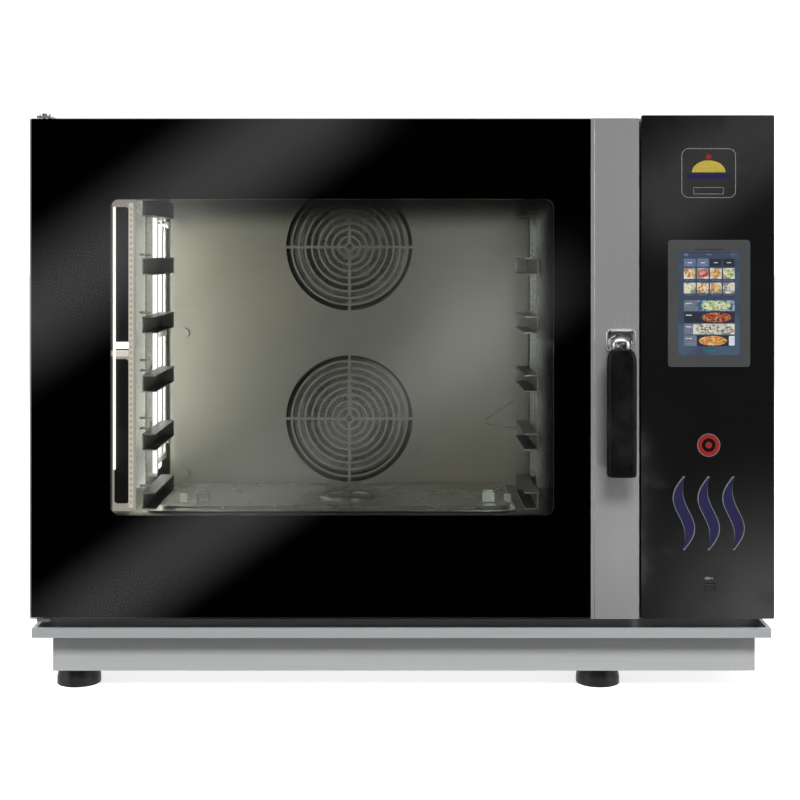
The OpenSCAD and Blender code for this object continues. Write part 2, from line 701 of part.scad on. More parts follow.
// ---- handle ----
module handle_neck() color([0.8, 0.8, 0.82]) difference() {
    union() {
        bar_y([knob_x, front_y - 30, knob_z], 13, 25.7);
        upright(grip_back + eps - 6, grip_back + 9)
            round_rect(grip_x - 13, grip_x + 15, grip_z1 - 24, knob_z + 13, 12);
    }
    bar_y([knob_x, front_y - 22, knob_z], spindle_r, 40);
}

module handle_grip() color([0.07, 0.07, 0.08]) difference() {
    intersection() {
        upright(handle_front, grip_back + 8)
            round_rect(grip_x - grip_w / 2, grip_x + grip_w / 2, grip_z0, grip_z1, 9);
        rotate([90, 0, 90]) translate([0, 0, grip_x - grip_w]) linear_extrude(height = 2 * grip_w)
            round_rect(handle_front, grip_back, grip_z0, grip_z1, 8);
    }
    upright(grip_back - 6 + eps, grip_back + 9) round_rect(grip_x - 13, grip_x + 15, grip_z1 - 24, knob_z + 13, 12);
}

module latch_spindle() color([0.6, 0.6, 0.62]) {
    bar_y([knob_x, front_y - 22, knob_z], spindle_r, casing_front + 11 - front_y + 22);
    block(knob_x - 5, knob_x + 5, casing_front + 5, casing_front + 11, knob_z, knob_z + arm_len);
}

// ---- tray racks ----
module rack_frame_left() {
    x = cav_x - rack_in;
    r = rod_d / 2;
    for (y = [rack_y0, rack_y1]) bar_z([x, y, rack_z0], r, rack_z1 - rack_z0);
    for (z = [rack_z0 + 1.5, (rack_z0 + rack_z1) / 2 - 4.5, rack_z1 - 9])
        block(x - r, x + r, rack_y0, rack_y1, z, z + 9);
    for (y = [rail_y0 + 25, rail_y1 - 35])
        block(x - r, cav_x - rail_web, y, y + 8, rack_z0 + 1.5, rack_z1 - 1);
    for (y = stud_y, z = stud_z) difference() {
        block(x - r, x, y - 13, y + 13, z - 14, z + 16);
        block(x - r - 1, x + 1, y - stud_r - 0.4, y + stud_r + 0.4, z - 15, z + stud_r + 0.4);
    }
}

module tray_supports_left() {
    x_web = cav_x - rail_web;
    x_tip = cav_x - rail_tip;
    for (i = [0 : levels - 1]) {
        z = top_rail_z - i * level_pitch;
        block(x_web, x_web + rail_t, rail_y0, rail_y1, z - rail_h, z);
        block(x_web, x_tip, rail_y0, rail_y1, z - rail_t, z);
        block(x_web, x_tip, rail_y0, rail_y1, z - rail_h, z - rail_h + rail_t);
        block(x_web, x_tip, rail_y1 - rail_t, rail_y1, z - rail_h, z);
    }
}

module left_rack_frame() color([0.7, 0.71, 0.72]) rack_frame_left();
module right_rack_frame() color([0.7, 0.71, 0.72]) mirrored_in_cavity() rack_frame_left();
module left_tray_supports() color([0.6, 0.61, 0.62]) tray_supports_left();
module right_tray_supports() color([0.6, 0.61, 0.62]) mirrored_in_cavity() tray_supports_left();

// ---- drip tray: a trough under the door on a tongue that slides over the plinth ----
module drip_tray() color([0.66, 0.69, 0.7]) {
    x0 = left_x + 3;
    x1 = right_x - 4;
    y0 = front_y - 2;
    y1 = casing_front - 3;
    difference() {
        block(x0, x1, y0, y1, tray_z, tray_z + tray_h);
        block(x0 + 5, x1 - 5, y0 + 5, y1 - 5, tray_z + thin_t, tray_z + tray_h + 1);
    }
    block(left_x + 45, right_x - 45, y1 - eps, casing_front + 120, tray_z, tray_z + thin_t);
    for (x = [left_x + 45, right_x - 45 - thin_t])
        block(x, x + thin_t, y1 - eps, casing_front + 120, tray_z, tray_z + 9);
}

plinth();
feet();
base_plate();
left_side_panel();
right_side_panel();
top_cover();
rear_panel();
front_frame();
cavity_liner();
cavity_insulation();
door_gasket();
fan_baffle();
baffle_screws();
upper_heating_element();
lower_heating_element();
upper_fan_motor();
lower_fan_motor();
steam_pipe();
rack_studs();
drain_filter();
drain_pipe();
bay_partition();
fascia_housing();
fascia_glass();
display_bezel();
display_panel();
control_board();
power_board();
usb_socket();
cooling_fan_frame();
vent_pipe();
damper_motor();
water_inlets();
cable_gland();
hinge_brackets();
hinge_pins();
door_strike();
door_frame();
door_outer_glass();
door_glass_mask();
door_inner_glass();
door_handle_strip();
door_light_bar();
handle_escutcheon();
hinge_bushes();
handle_neck();
handle_grip();
latch_spindle();
left_rack_frame();
left_tray_supports();
right_rack_frame();
right_tray_supports();
upper_fan_wheel();
upper_fan_shaft();
lower_fan_wheel();
lower_fan_shaft();
drip_tray();
usb_cover();
cooling_fan_rotor();
vent_damper();
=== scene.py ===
import math

import bmesh
import bpy
from mathutils import Matrix, Vector


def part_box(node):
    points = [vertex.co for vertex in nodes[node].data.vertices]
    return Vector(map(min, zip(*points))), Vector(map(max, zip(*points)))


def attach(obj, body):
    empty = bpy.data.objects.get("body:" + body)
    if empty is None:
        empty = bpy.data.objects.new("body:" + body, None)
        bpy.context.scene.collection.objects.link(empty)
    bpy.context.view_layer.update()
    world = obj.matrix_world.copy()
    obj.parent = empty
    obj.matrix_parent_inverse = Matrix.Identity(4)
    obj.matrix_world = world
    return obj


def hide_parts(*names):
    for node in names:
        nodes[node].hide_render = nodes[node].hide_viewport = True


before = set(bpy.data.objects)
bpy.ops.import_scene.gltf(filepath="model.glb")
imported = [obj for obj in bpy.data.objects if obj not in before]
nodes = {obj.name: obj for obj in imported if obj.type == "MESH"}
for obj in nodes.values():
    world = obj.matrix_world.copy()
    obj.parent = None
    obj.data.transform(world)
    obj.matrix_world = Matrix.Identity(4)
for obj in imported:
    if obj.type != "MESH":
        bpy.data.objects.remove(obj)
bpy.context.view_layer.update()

MM = 0.001


# ---------------------------------------------------------------- shader groups

def make_group(name, inputs, outputs):
    """A shader node group with named sockets: inputs are (name, kind, value), outputs are (name, kind)."""
    group = bpy.data.node_groups.new(name, "ShaderNodeTree")
    for label, kind, value in inputs:
        socket = group.interface.new_socket(label, in_out="INPUT", socket_type="NodeSocket" + kind)
        socket.default_value = value
    for label, kind in outputs:
        group.interface.new_socket(label, in_out="OUTPUT", socket_type="NodeSocket" + kind)
    return group, group.nodes.new("NodeGroupInput"), group.nodes.new("NodeGroupOutput")


def wire(tree, source, target):
    tree.links.new(source, target)


def noise(tree, vector, scale, detail=3.0, roughness=0.55):
    node = tree.nodes.new("ShaderNodeTexNoise")
    if isinstance(scale, (int, float)):
        node.inputs["Scale"].default_value = scale
    else:
        wire(tree, scale, node.inputs["Scale"])
    node.inputs["Detail"].default_value = detail
    node.inputs["Roughness"].default_value = roughness
    wire(tree, vector, node.inputs["Vector"])
    return node.outputs["Fac"]


def remap(tree, value, low, high, out_low=0.0, out_high=1.0):
    node = tree.nodes.new("ShaderNodeMapRange")
    node.interpolation_type = "SMOOTHSTEP"
    wire(tree, value, node.inputs["Value"])
    for label, number in (("From Min", low), ("From Max", high), ("To Min", out_low), ("To Max", out_high)):
        if isinstance(number, (int, float)):
            node.inputs[label].default_value = number
        else:
            wire(tree, number, node.inputs[label])
    return node.outputs["Result"]


def maths(tree, operation, a, b=0.0):
    node = tree.nodes.new("ShaderNodeMath")
    node.operation = operation
    for socket, value in zip(node.inputs, (a, b)):
        if isinstance(value, (int, float)):
            socket.default_value = value
        else:
            wire(tree, value, socket)
    return node.outputs[0]


def times(tree, a, b):
    return maths(tree, "MULTIPLY", a, b)


def plus(tree, a, b):
    return maths(tree, "ADD", a, b)


def mix_colour(tree, factor, a, b):
    node = tree.nodes.new("ShaderNodeMix")
    node.data_type = "RGBA"
    for label, value in (("Factor_Float", factor), ("A_Color", a), ("B_Color", b)):
        socket = next(s for s in node.inputs if s.identifier == label)
        if isinstance(value, (int, float)):
            socket.default_value = value
        elif isinstance(value, tuple):
            socket.default_value = (*value, 1.0)
        else:
            wire(tree, value, socket)
    return next(s for s in node.outputs if s.identifier == "Result_Color")


def object_place(tree, stretch=None):
    """The place on the piece, in metres, stretched along each axis where asked."""
    place = tree.nodes.new("ShaderNodeTexCoord").outputs["Object"]
    if stretch is None:
        return place
    scaled = tree.nodes.new("ShaderNodeVectorMath")
    scaled.operation = "MULTIPLY"
    wire(tree, place, scaled.inputs[0])
    if isinstance(stretch, tuple):
        scaled.inputs[1].default_value = stretch
    else:
        wire(tree, stretch, scaled.inputs[1])
    return scaled.outputs[0]


def build_brushed_lines():
    """Long fine scratches along one axis: the axis with the smallest stretch is the way the belt ran."""
    group, given, result = make_group(
        "Brushed lines",
        [("Stretch", "Vector", (900.0, 900.0, 6.0)), ("Contrast", "Float", 1.0)],
        [("Lines", "Float"), ("Bands", "Float")])
    place = object_place(group, given.outputs["Stretch"])
    fine = noise(group, place, 1.0, 4.0, 0.7)
    lines = remap(group, fine, 0.3, 0.7)
    softened = times(group, maths(group, "SUBTRACT", lines, 0.5), given.outputs["Contrast"])
    wire(group, plus(group, softened, 0.5), result.inputs["Lines"])
    wire(group, remap(group, noise(group, place, 0.06, 2.0), 0.3, 0.7), result.inputs["Bands"])
    return group


def build_smudges():
    """Soft uneven patches, as hands, water and cloths leave them."""
    group, given, result = make_group(
        "Smudges",
        [("Scale", "Float", 9.0), ("Low", "Float", 0.45), ("High", "Float", 0.7)],
        [("Mask", "Float")])
    place = object_place(group)
    broad = noise(group, place, given.outputs["Scale"], 5.0, 0.6)
    wire(group, remap(group, broad, given.outputs["Low"], given.outputs["High"]), result.inputs["Mask"])
    return group


def build_grain():
    """The fine pebbled surface of moulded plastic or rubber."""
    group, given, result = make_group("Moulded grain", [("Scale", "Float", 900.0)], [("Height", "Float")])
    place = object_place(group)
    cells = group.nodes.new("ShaderNodeTexVoronoi")
    wire(group, place, cells.inputs["Vector"])
    wire(group, given.outputs["Scale"], cells.inputs["Scale"])
    ripple = noise(group, place, times(group, given.outputs["Scale"], 0.4))
    wire(group, plus(group, cells.outputs["Distance"], ripple), result.inputs["Height"])
    return group


def build_edge_wear():
    """White along outer edges, broken up by noise, where handling has rubbed the surface."""
    group, given, result = make_group(
        "Edge wear", [("Width", "Float", 0.0012), ("Break up", "Float", 60.0)], [("Mask", "Float")])
    soft = group.nodes.new("ShaderNodeBevel")
    soft.samples = 3
    wire(group, given.outputs["Width"], soft.inputs["Radius"])
    shape = group.nodes.new("ShaderNodeNewGeometry")
    facing = group.nodes.new("ShaderNodeVectorMath")
    facing.operation = "DOT_PRODUCT"
    wire(group, soft.outputs["Normal"], facing.inputs[0])
    wire(group, shape.outputs["Normal"], facing.inputs[1])
    edge = remap(group, facing.outputs["Value"], 0.99, 0.9)
    patches = remap(group, noise(group, object_place(group), given.outputs["Break up"]), 0.4, 0.6)
    wire(group, times(group, edge, patches), result.inputs["Mask"])
    return group


LINES = build_brushed_lines()
SMUDGES = build_smudges()
GRAIN = build_grain()
WEAR = build_edge_wear()

ALONG_X = (5.0, 900.0, 900.0)
ALONG_Y = (900.0, 5.0, 900.0)
ALONG_Z = (900.0, 900.0, 5.0)
UNLIT = (0.01, 0.01, 0.01)    # a lit field's own colour, under its light


def use(tree, group, **values):
    node = tree.nodes.new("ShaderNodeGroup")
    node.node_tree = group
    for label, value in values.items():
        node.inputs[label.replace("_", " ")].default_value = value
    return node


def smudged(tree, scale, low, high):
    """The mask of the smudge group: patches of the given scale between two noise levels."""
    return use(tree, SMUDGES, Scale=scale, Low=low, High=high).outputs["Mask"]


def rubbed_edges(tree, width, break_up):
    return use(tree, WEAR, Width=width, Break_up=break_up).outputs["Mask"]


def shade(colour, factor):
    """The colour made darker or paler by a factor, up to white."""
    return tuple(min(1.0, factor * c) for c in colour)


def surface(name, **constants):
    """A new material, its node tree and its Principled shader with constant values set on it."""
    material = bpy.data.materials.new(name)
    material.use_nodes = True
    shader = material.node_tree.nodes["Principled BSDF"]
    for label, value in constants.items():
        shader.inputs[label.replace("_", " ")].default_value = value
    return material, material.node_tree, shader


def paint(tree, shader, colour=None, rough=None, glow=None):
    """Feeds the shader's colour, roughness and emission colour, where they are given."""
    for label, value in (("Base Color", colour), ("Roughness", rough), ("Emission Color", glow)):
        if value is not None:
            wire(tree, value, shader.inputs[label])


def add_bump(tree, shader, height, strength, distance):
    bump = tree.nodes.new("ShaderNodeBump")
    bump.inputs["Strength"].default_value = strength
    bump.inputs["Distance"].default_value = distance
    wire(tree, height, bump.inputs["Height"])
    wire(tree, bump.outputs["Normal"], shader.inputs["Normal"])


# ---------------------------------------------------------------- materials

def brushed_steel(name, colour, stretch, rough=0.34, metal=0.85, contrast=0.35, worn=True):
    """Stainless sheet with belt lines, cloudy cleaning marks and rubbed edges."""
    material, tree, shader = surface(name, Metallic=metal)
    lines = use(tree, LINES, Stretch=stretch, Contrast=contrast)
    clouds = smudged(tree, 5.0, 0.4, 0.75)
    dark = shade(colour, 0.84)
    light = shade(colour, 1.08)
    tone = mix_colour(tree, lines.outputs["Lines"], dark, light)
    tone = mix_colour(tree, times(tree, lines.outputs["Bands"], 0.12), tone, light)
    tone = mix_colour(tree, times(tree, clouds, 0.12), tone, dark)
    if worn:
        wear = rubbed_edges(tree, 0.0012, 70.0)
        tone = mix_colour(tree, times(tree, wear, 0.5), tone, (0.9, 0.9, 0.9))
    uneven = remap(tree, lines.outputs["Lines"], 0.0, 1.0, rough - 0.07, rough + 0.07)
    paint(tree, shader, tone, plus(tree, uneven, times(tree, clouds, 0.08)))
    add_bump(tree, shader, lines.outputs["Lines"], 0.12, 0.0002)
    return material


def cavity_steel(name, colour, rough=0.38):
    """Cavity sheet that has been hot: straw and brown tints in clouds, water marks and fine lines."""
    material, tree, shader = surface(name, Metallic=0.75)
    lines = use(tree, LINES, Stretch=ALONG_X, Contrast=0.25)
    heat = smudged(tree, 3.5, 0.42, 0.7)
    spots = smudged(tree, 45.0, 0.58, 0.72)
    dark = shade(colour, 0.8)
    tone = mix_colour(tree, lines.outputs["Lines"], dark, colour)
    straw = (colour[0] * 1.05, colour[1] * 0.98, colour[2] * 0.8)
    tone = mix_colour(tree, times(tree, heat, 0.6), tone, straw)
    tone = mix_colour(tree, times(tree, spots, 0.25), tone, dark)
    uneven = remap(tree, heat, 0.0, 1.0, rough, rough + 0.14)
    paint(tree, shader, tone, plus(tree, uneven, times(tree, spots, 0.1)))
    add_bump(tree, shader, plus(tree, lines.outputs["Lines"], spots), 0.1, 0.0003)
    return material


def polished_metal(name, colour, rough=0.08):
    """Chrome or polished pin steel with faint swirls and finger marks."""
    material, tree, shader = surface(name, Metallic=1.0)
    swirls = smudged(tree, 160.0, 0.5, 0.7)
    hands = smudged(tree, 35.0, 0.5, 0.75)
    tone = mix_colour(tree, hands, colour, shade(colour, 0.85))
    uneven = remap(tree, hands, 0.0, 1.0, rough, rough + 0.12)
    paint(tree, shader, tone, plus(tree, uneven, times(tree, swirls, 0.03)))
    add_bump(tree, shader, swirls, 0.03, 0.0002)
    return material


def moulded(name, colour, rough=0.45, grain=900.0, depth=0.15, worn=0.4, gloss=0.5):
    """Moulded plastic or rubber with a pebbled skin, dusty patches and paler rubbed edges."""
    material, tree, shader = surface(name, Metallic=0.0, Specular_IOR_Level=gloss)
    skin = use(tree, GRAIN, Scale=grain)
    dust = smudged(tree, 14.0, 0.45, 0.8)
    wear = rubbed_edges(tree, 0.001, 90.0)
    pale = tuple(min(1.0, c * 1.5 + 0.03) for c in colour)
    dusty = tuple(min(1.0, c * 1.15 + 0.012) for c in colour)
    tone = mix_colour(tree, dust, colour, dusty)
    tone = mix_colour(tree, times(tree, wear, worn), tone, pale)
    paint(tree, shader, tone, remap(tree, dust, 0.0, 1.0, rough - 0.05, rough + 0.12))
    add_bump(tree, shader, skin.outputs["Height"], depth, 0.0003)
    return material


def clear_glass(name, tint, cloudy=0.03):
    """A float glass pane, clear, with faint wipe marks."""
    material, tree, shader = surface(name, Metallic=0.0, Transmission_Weight=1.0, IOR=1.45)
    wipes = smudged(tree, 6.0, 0.5, 0.8)
    tone = mix_colour(tree, wipes, tint, shade(tint, 0.97))
    paint(tree, shader, tone, remap(tree, wipes, 0.0, 1.0, 0.0, cloudy))
    return material


def black_gloss(name, colour=(0.004, 0.004, 0.0045), rough=0.06, gloss=0.5):
    """Back-printed black glass: deep black with soft finger marks in the gloss."""
    material, tree, shader = surface(name, Metallic=0.0, Specular_IOR_Level=gloss)
    hands = smudged(tree, 12.0, 0.45, 0.75)
    specks = smudged(tree, 420.0, 0.66, 0.74)
    dusty = tuple(c + 0.008 for c in colour)
    tone = mix_colour(tree, times(tree, specks, 0.5), colour, dusty)
    paint(tree, shader, tone, remap(tree, hands, 0.0, 1.0, rough, rough + 0.08))
    return material


def mineral_wool(name):
    """Yellow-brown fibre mat."""
    material, tree, shader = surface(name, Metallic=0.0)
    fibres = noise(tree, object_place(tree, (60.0, 400.0, 300.0)), 1.0, 6.0, 0.7)
    tone = mix_colour(tree, fibres, (0.45, 0.36, 0.16), (0.85, 0.78, 0.5))
    paint(tree, shader, tone, remap(tree, fibres, 0.2, 0.8, 0.8, 1.0))
    add_bump(tree, shader, fibres, 0.8, 0.002)
    return material


def circuit_board(name):
    """Green lacquered board with paler tracks and dark parts."""
    material, tree, shader = surface(name, Metallic=0.0)
    tracks = tree.nodes.new("ShaderNodeTexBrick")
    tracks.inputs["Scale"].default_value = 90.0
    tracks.inputs["Mortar Size"].default_value = 0.06
    turned = tree.nodes.new("ShaderNodeMapping")
    turned.inputs["Rotation"].default_value = (math.pi / 2, 0.0, 0.0)
    wire(tree, object_place(tree), turned.inputs["Vector"])
    wire(tree, turned.outputs["Vector"], tracks.inputs["Vector"])
    tone = mix_colour(tree, tracks.outputs["Fac"], (0.02, 0.16, 0.07), (0.1, 0.4, 0.2))
    paint(tree, shader, tone, remap(tree, tracks.outputs["Fac"], 0.0, 1.0, 0.3, 0.5))
    add_bump(tree, shader, tracks.outputs["Fac"], 0.2, 0.0003)
    return material


def lit_tile(name, colour, strength, mottle=None, scale=260.0):
    """A lit field of the screen. mottle adds a second colour in soft patches, as in a small picture of food."""
    material, tree, shader = surface(name, Metallic=0.0, Roughness=0.15, Emission_Strength=strength)
    uneven = remap(tree, noise(tree, object_place(tree), 700.0), 0.0, 1.0, 0.1, 0.25)
    patches = remap(tree, noise(tree, object_place(tree), scale, 2.0), 0.42, 0.58)
    tone = mix_colour(tree, patches, colour, mottle or shade(colour, 0.8))
    paint(tree, shader, mix_colour(tree, 0.7, tone, UNLIT), uneven, tone)
    return material


def print_ink(name, colour, rough=0.3):
    """Screen-printed ink with a slightly uneven lay."""
    material, tree, shader = surface(name, Metallic=0.0)
    lay = smudged(tree, 300.0, 0.4, 0.7)
    tone = mix_colour(tree, lay, colour, shade(colour, 0.85))
    paint(tree, shader, tone, remap(tree, lay, 0.0, 1.0, rough, rough + 0.15))
    add_bump(tree, shader, lay, 0.05, 0.0002)
    return material


def glowing(name, colour, strength):
    """A glowing surface, brighter in the middle of each chip: lamp lenses, and painted light on a few parts
    that are no lamps.
    """
    material, tree, shader = surface(name, Roughness=0.3, Emission_Strength=strength)
    chips = noise(tree, object_place(tree), 500.0, 1.0)
    tone = mix_colour(tree, chips, colour, shade(colour, 1.1))
    paint(tree, shader, tone, glow=tone)
    return material


casing_steel = brushed_steel("Casing steel", (0.66, 0.67, 0.68), ALONG_Y)
upright_steel = brushed_steel("Upright brushed steel", (0.36, 0.36, 0.36), ALONG_Z, rough=0.2, metal=0.45,
                              contrast=0.2)
tray_steel = brushed_steel("Tray steel", (0.54, 0.565, 0.575), ALONG_X, rough=0.32, metal=0.35)
plinth_steel = brushed_steel("Plinth steel", (0.66, 0.67, 0.67), ALONG_X, rough=0.4, metal=0.3)
hidden_steel = brushed_steel("Galvanised sheet", (0.5, 0.51, 0.52), ALONG_X, rough=0.45, worn=False)
liner_steel = cavity_steel("Cavity steel", (0.42, 0.43, 0.39), rough=0.36)
baffle_steel = cavity_steel("Baffle steel", (0.47, 0.465, 0.43), rough=0.48)
wheel_steel = brushed_steel("Fan wheel steel", (0.62, 0.63, 0.6), ALONG_Y, rough=0.26, metal=0.9)
pan_steel = cavity_steel("Floor pan steel", (0.54, 0.57, 0.55), rough=0.25)
# a paler, less metallic copy of the rack steel so that the rungs show bright: painted highlight
highlit_rung_steel = brushed_steel("Rung wire steel paled as painted highlight", (0.8, 0.78, 0.74), ALONG_Y, rough=0.3, metal=0.3)
rack_steel = brushed_steel("Rack wire steel", (0.62, 0.63, 0.62), ALONG_Y, rough=0.24, metal=0.9)
# the tray supports and the spring clip get a darkened copy of the rack steel: painted shade on faces turned
# from the lamps
shaded_support_steel = brushed_steel("Support channel steel darkened as painted shade", (0.17, 0.17, 0.16), ALONG_Y, rough=0.34, metal=0.7)
pin_steel = polished_metal("Ground pin steel", (0.72, 0.72, 0.72), rough=0.16)
chrome = polished_metal("Handle chrome", (0.8, 0.81, 0.82), rough=0.13)
brass = polished_metal("Fitting brass", (0.7, 0.52, 0.24), rough=0.22)
element_metal = moulded("Oxidised element sheath", (0.1, 0.085, 0.075), rough=0.5, grain=1500.0, worn=0.2)
frame_paint = moulded("Black enamelled sheet", (0.03, 0.03, 0.032), rough=0.35, grain=1400.0, depth=0.05)
motor_paint = moulded("Motor paint", (0.05, 0.055, 0.06), rough=0.4, grain=700.0)
grip_plastic = moulded("Grip plastic", (0.002, 0.002, 0.0022), rough=0.32, grain=1100.0, depth=0.05, worn=0.1,
                       gloss=0.17)
bezel_plastic = moulded("Bezel plastic", (0.052, 0.055, 0.056), rough=0.42, grain=1300.0, depth=0.08)
black_plastic = moulded("Black plastic", (0.018, 0.018, 0.019), rough=0.4)
drain_plastic = moulded("Waste pipe plastic", (0.09, 0.09, 0.095), rough=0.5)
foot_rubber = moulded("Foot rubber", (0.02, 0.02, 0.021), rough=0.4, grain=500.0, depth=0.12)
seal_rubber = moulded("Seal rubber", (0.015, 0.015, 0.015), rough=0.6, grain=600.0, depth=0.2)
outer_glass = clear_glass("Outer pane glass", (0.97, 0.985, 0.975))
inner_glass = clear_glass("Inner pane glass", (0.95, 0.975, 0.96))
glass_print = black_gloss("Printed glass border", gloss=0.2)
fascia_black = black_gloss("Fascia glass", colour=(0.006, 0.006, 0.0065))
screen_dark = lit_tile("Screen background", (0.035, 0.05, 0.085), 0.85, (0.05, 0.08, 0.13), 18.0)
wool = mineral_wool("Mineral wool")
board_green = circuit_board("Circuit board")
lamp_strip = glowing("Lamp strip lens", (0.5, 0.47, 0.4), 0.75)
lamp_chip = glowing("Lamp chips", (0.43, 0.37, 0.31), 0.66)
# the light bar's frames and the left floor pan tab glow with this: painted light, they are no lamps
painted_glow_sheet = glowing("Painted glow on frames and tab", (0.34, 0.32, 0.28), 0.75)
lamp_arm = glowing("Lamp arm", (0.6, 0.57, 0.5), 0.85)
lamp_lens = glowing("Bright lamp lens", (1.0, 0.965, 0.9), 1.25)


# ---------------------------------------------------------------- dressing the CAD nodes

FINISHES = {
    casing_steel: ["left_side_panel", "right_side_panel", "top_cover", "rear_panel"],
    hidden_steel: ["base_plate", "bay_partition", "front_frame", "door_strike"],
    plinth_steel: ["plinth"],
    tray_steel: ["drip_tray"],
    upright_steel: ["door_handle_strip"],
    liner_steel: ["cavity_liner", "drain_filter"],
    baffle_steel: ["fan_baffle", "baffle_screws"],
    wheel_steel: ["upper_fan_wheel", "lower_fan_wheel", "vent_pipe", "vent_damper", "steam_pipe", "usb_socket",
                  "hinge_brackets"],
    rack_steel: ["left_rack_frame", "right_rack_frame"],
    shaded_support_steel: ["left_tray_supports", "right_tray_supports"],
    pin_steel: ["rack_studs", "hinge_pins", "latch_spindle", "upper_fan_shaft",
                "lower_fan_shaft"],
    chrome: ["handle_escutcheon", "handle_neck"],
    brass: ["water_inlets", "hinge_bushes"],
    element_metal: ["upper_heating_element", "lower_heating_element"],
    frame_paint: ["door_frame", "fascia_housing"],
    motor_paint: ["upper_fan_motor", "lower_fan_motor"],
    bezel_plastic: ["display_bezel"],
    black_plastic: ["damper_motor", "cable_gland", "cooling_fan_frame", "cooling_fan_rotor", "usb_cover"],
    drain_plastic: ["drain_pipe"],
    foot_rubber: ["feet"],
    seal_rubber: ["door_gasket"],
    outer_glass: ["door_outer_glass"],
    inner_glass: ["door_inner_glass"],
    glass_print: ["door_glass_mask"],
    fascia_black: ["fascia_glass"],
    screen_dark: ["display_panel"],
    wool: ["cavity_insulation"],
    board_green: ["control_board", "power_board"],
    lamp_strip: ["door_light_bar"],
    grip_plastic: ["handle_grip"],
}

# How far each piece's sharp edges are rounded, in millimetres. Pieces not named get 0.4
ROUNDING = {"feet": 1.5, "drip_tray": 0.7, "plinth": 0.9, "door_outer_glass": 0.8, "fascia_glass": 1.0,
            "door_inner_glass": 0.8, "door_glass_mask": 0.0, "fan_baffle": 0.3, "cavity_liner": 0.0,
            "rear_panel": 0.3, "right_side_panel": 0.3, "upper_fan_wheel": 0.2, "lower_fan_wheel": 0.2,
            "door_handle_strip": 0.6, "display_bezel": 0.8, "handle_escutcheon": 1.2,
            "cavity_insulation": 2.0, "door_gasket": 1.8, "water_inlets": 1.2, "damper_motor": 1.2,
            "cable_gland": 0.8, "vent_pipe": 0.3, "display_panel": 0.2, "usb_cover": 0.3}


def soften(piece, width, segments=3, angle=35):
    """Rounds the edges where faces meet at more than an angle in degrees."""
    bevel = piece.modifiers.new("Rounded edges", "BEVEL")
    bevel.width = width
    bevel.segments = segments
    bevel.limit_method = "ANGLE"
    bevel.angle_limit = math.radians(angle)
    bevel.harden_normals = True


def dress(node, material):
    piece = nodes[node]
    piece.data.materials.clear()
    piece.data.materials.append(material)
    width = ROUNDING.get(node, 0.4)
    if width:
        soften(piece, width * MM, segments=2, angle=40)


for finish, names in FINISHES.items():
    for node_name in names:
        dress(node_name, finish)


# ---------------------------------------------------------------- mesh helpers

def place_mesh(name, verts, faces, materials, body, smooth=False):
    mesh = bpy.data.meshes.new(name)
    mesh.from_pydata([tuple(v) for v in verts], [], faces)
    for material in materials:
        mesh.materials.append(material)
    mesh.polygons.foreach_set("use_smooth", [smooth] * len(mesh.polygons))
    piece = bpy.data.objects.new(name, mesh)
    bpy.context.scene.collection.objects.link(piece)
    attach(piece, body)
    return piece


def ring_loft(rings, closed_ends=True):
    """Faces between rings of equal length, with a cap at each end."""
    verts = [v for ring in rings for v in ring]
    count = len(rings[0])
    faces = []
    for level in range(len(rings) - 1):
        for i in range(count):
            j = (i + 1) % count
            a = level * count
            faces.append((a + i, a + j, a + count + j, a + count + i))
    if closed_ends:
        faces.append(tuple(reversed(range(count))))
        last = (len(rings) - 1) * count
        faces.append(tuple(last + i for i in range(count)))
    return verts, faces


def join_lofts(lofts):
    """The corners and faces of several lofts as one mesh."""
    verts, faces = [], []
    for loft_verts, loft_faces in lofts:
        base = len(verts)
        verts += loft_verts
        faces += [tuple(base + k for k in face) for face in loft_faces]
    return verts, faces


def smooth_form(piece, levels):
    form = piece.modifiers.new("Smooth form", "SUBSURF")
    form.levels = levels
    form.render_levels = levels


def squircle(half_x, half_y, power, count=28):
    """Points round a squared-off oval."""
    points = []
    for i in range(count):
        angle = 2 * math.pi * i / count
        c, s = math.cos(angle), math.sin(angle)
        points.append((half_x * math.copysign(abs(c) ** (2 / power), c),
                       half_y * math.copysign(abs(s) ** (2 / power), s)))
    return points


def oval_outline(cx, cz, half_x, half_z, count):
    return [(cx + half_x * math.cos(a), cz + half_z * math.sin(a))
            for a in (2 * math.pi * k / count for k in range(count))]


def disc_outline(cx, cz, radius, count=32):
    return oval_outline(cx, cz, radius, radius, count)


def rounded_outline(x0, x1, z0, z1, radius, steps=6):
    """Corner points of an upright rectangle with round corners, in X and Z."""
    corners = [(x1 - radius, z1 - radius, 0), (x0 + radius, z1 - radius, 90),
               (x0 + radius, z0 + radius, 180), (x1 - radius, z0 + radius, 270)]
    points = []
    for cx, cz, start in corners:
        for i in range(steps + 1):
            angle = math.radians(start + 90 * i / steps)
            points.append((cx + radius * math.cos(angle), cz + radius * math.sin(angle)))
    return points


def plate_from_rings(name, rings, material, body, edge):
    verts, faces = ring_loft(rings)
    piece = place_mesh(name, verts, faces, [material], body)
    if edge:
        soften(piece, edge)
    return piece


def upright_plate(name, outline, y0, y1, material, body, edge=0.0):
    """A plate with the given outline in X and Z between two depths."""
    rings = [[(x, y, z) for x, z in outline] for y in (y0, y1)]
    return plate_from_rings(name, rings, material, body, edge)


def side_plate(name, outline, x0, x1, material, body, edge=0.0):
    """A plate with the given outline in Y and Z between two places across."""
    rings = [[(x, y, z) for y, z in outline] for x in (x0, x1)]
    return plate_from_rings(name, rings, material, body, edge)


def upright_band(name, outer, inner, y0, y1, material, body):
    """A closed band between two outlines with the same number of points."""
    rings = [[(x, y, z) for x, z in outline]
             for outline, y in ((outer, y0), (inner, y0), (inner, y1), (outer, y1), (outer, y0))]
    verts, faces = ring_loft(rings, closed_ends=False)
    count = len(outer)
    total = 4 * count
    faces = [tuple(i % total for i in face) for face in faces]
    return place_mesh(name, verts[:total], faces, [material], body)


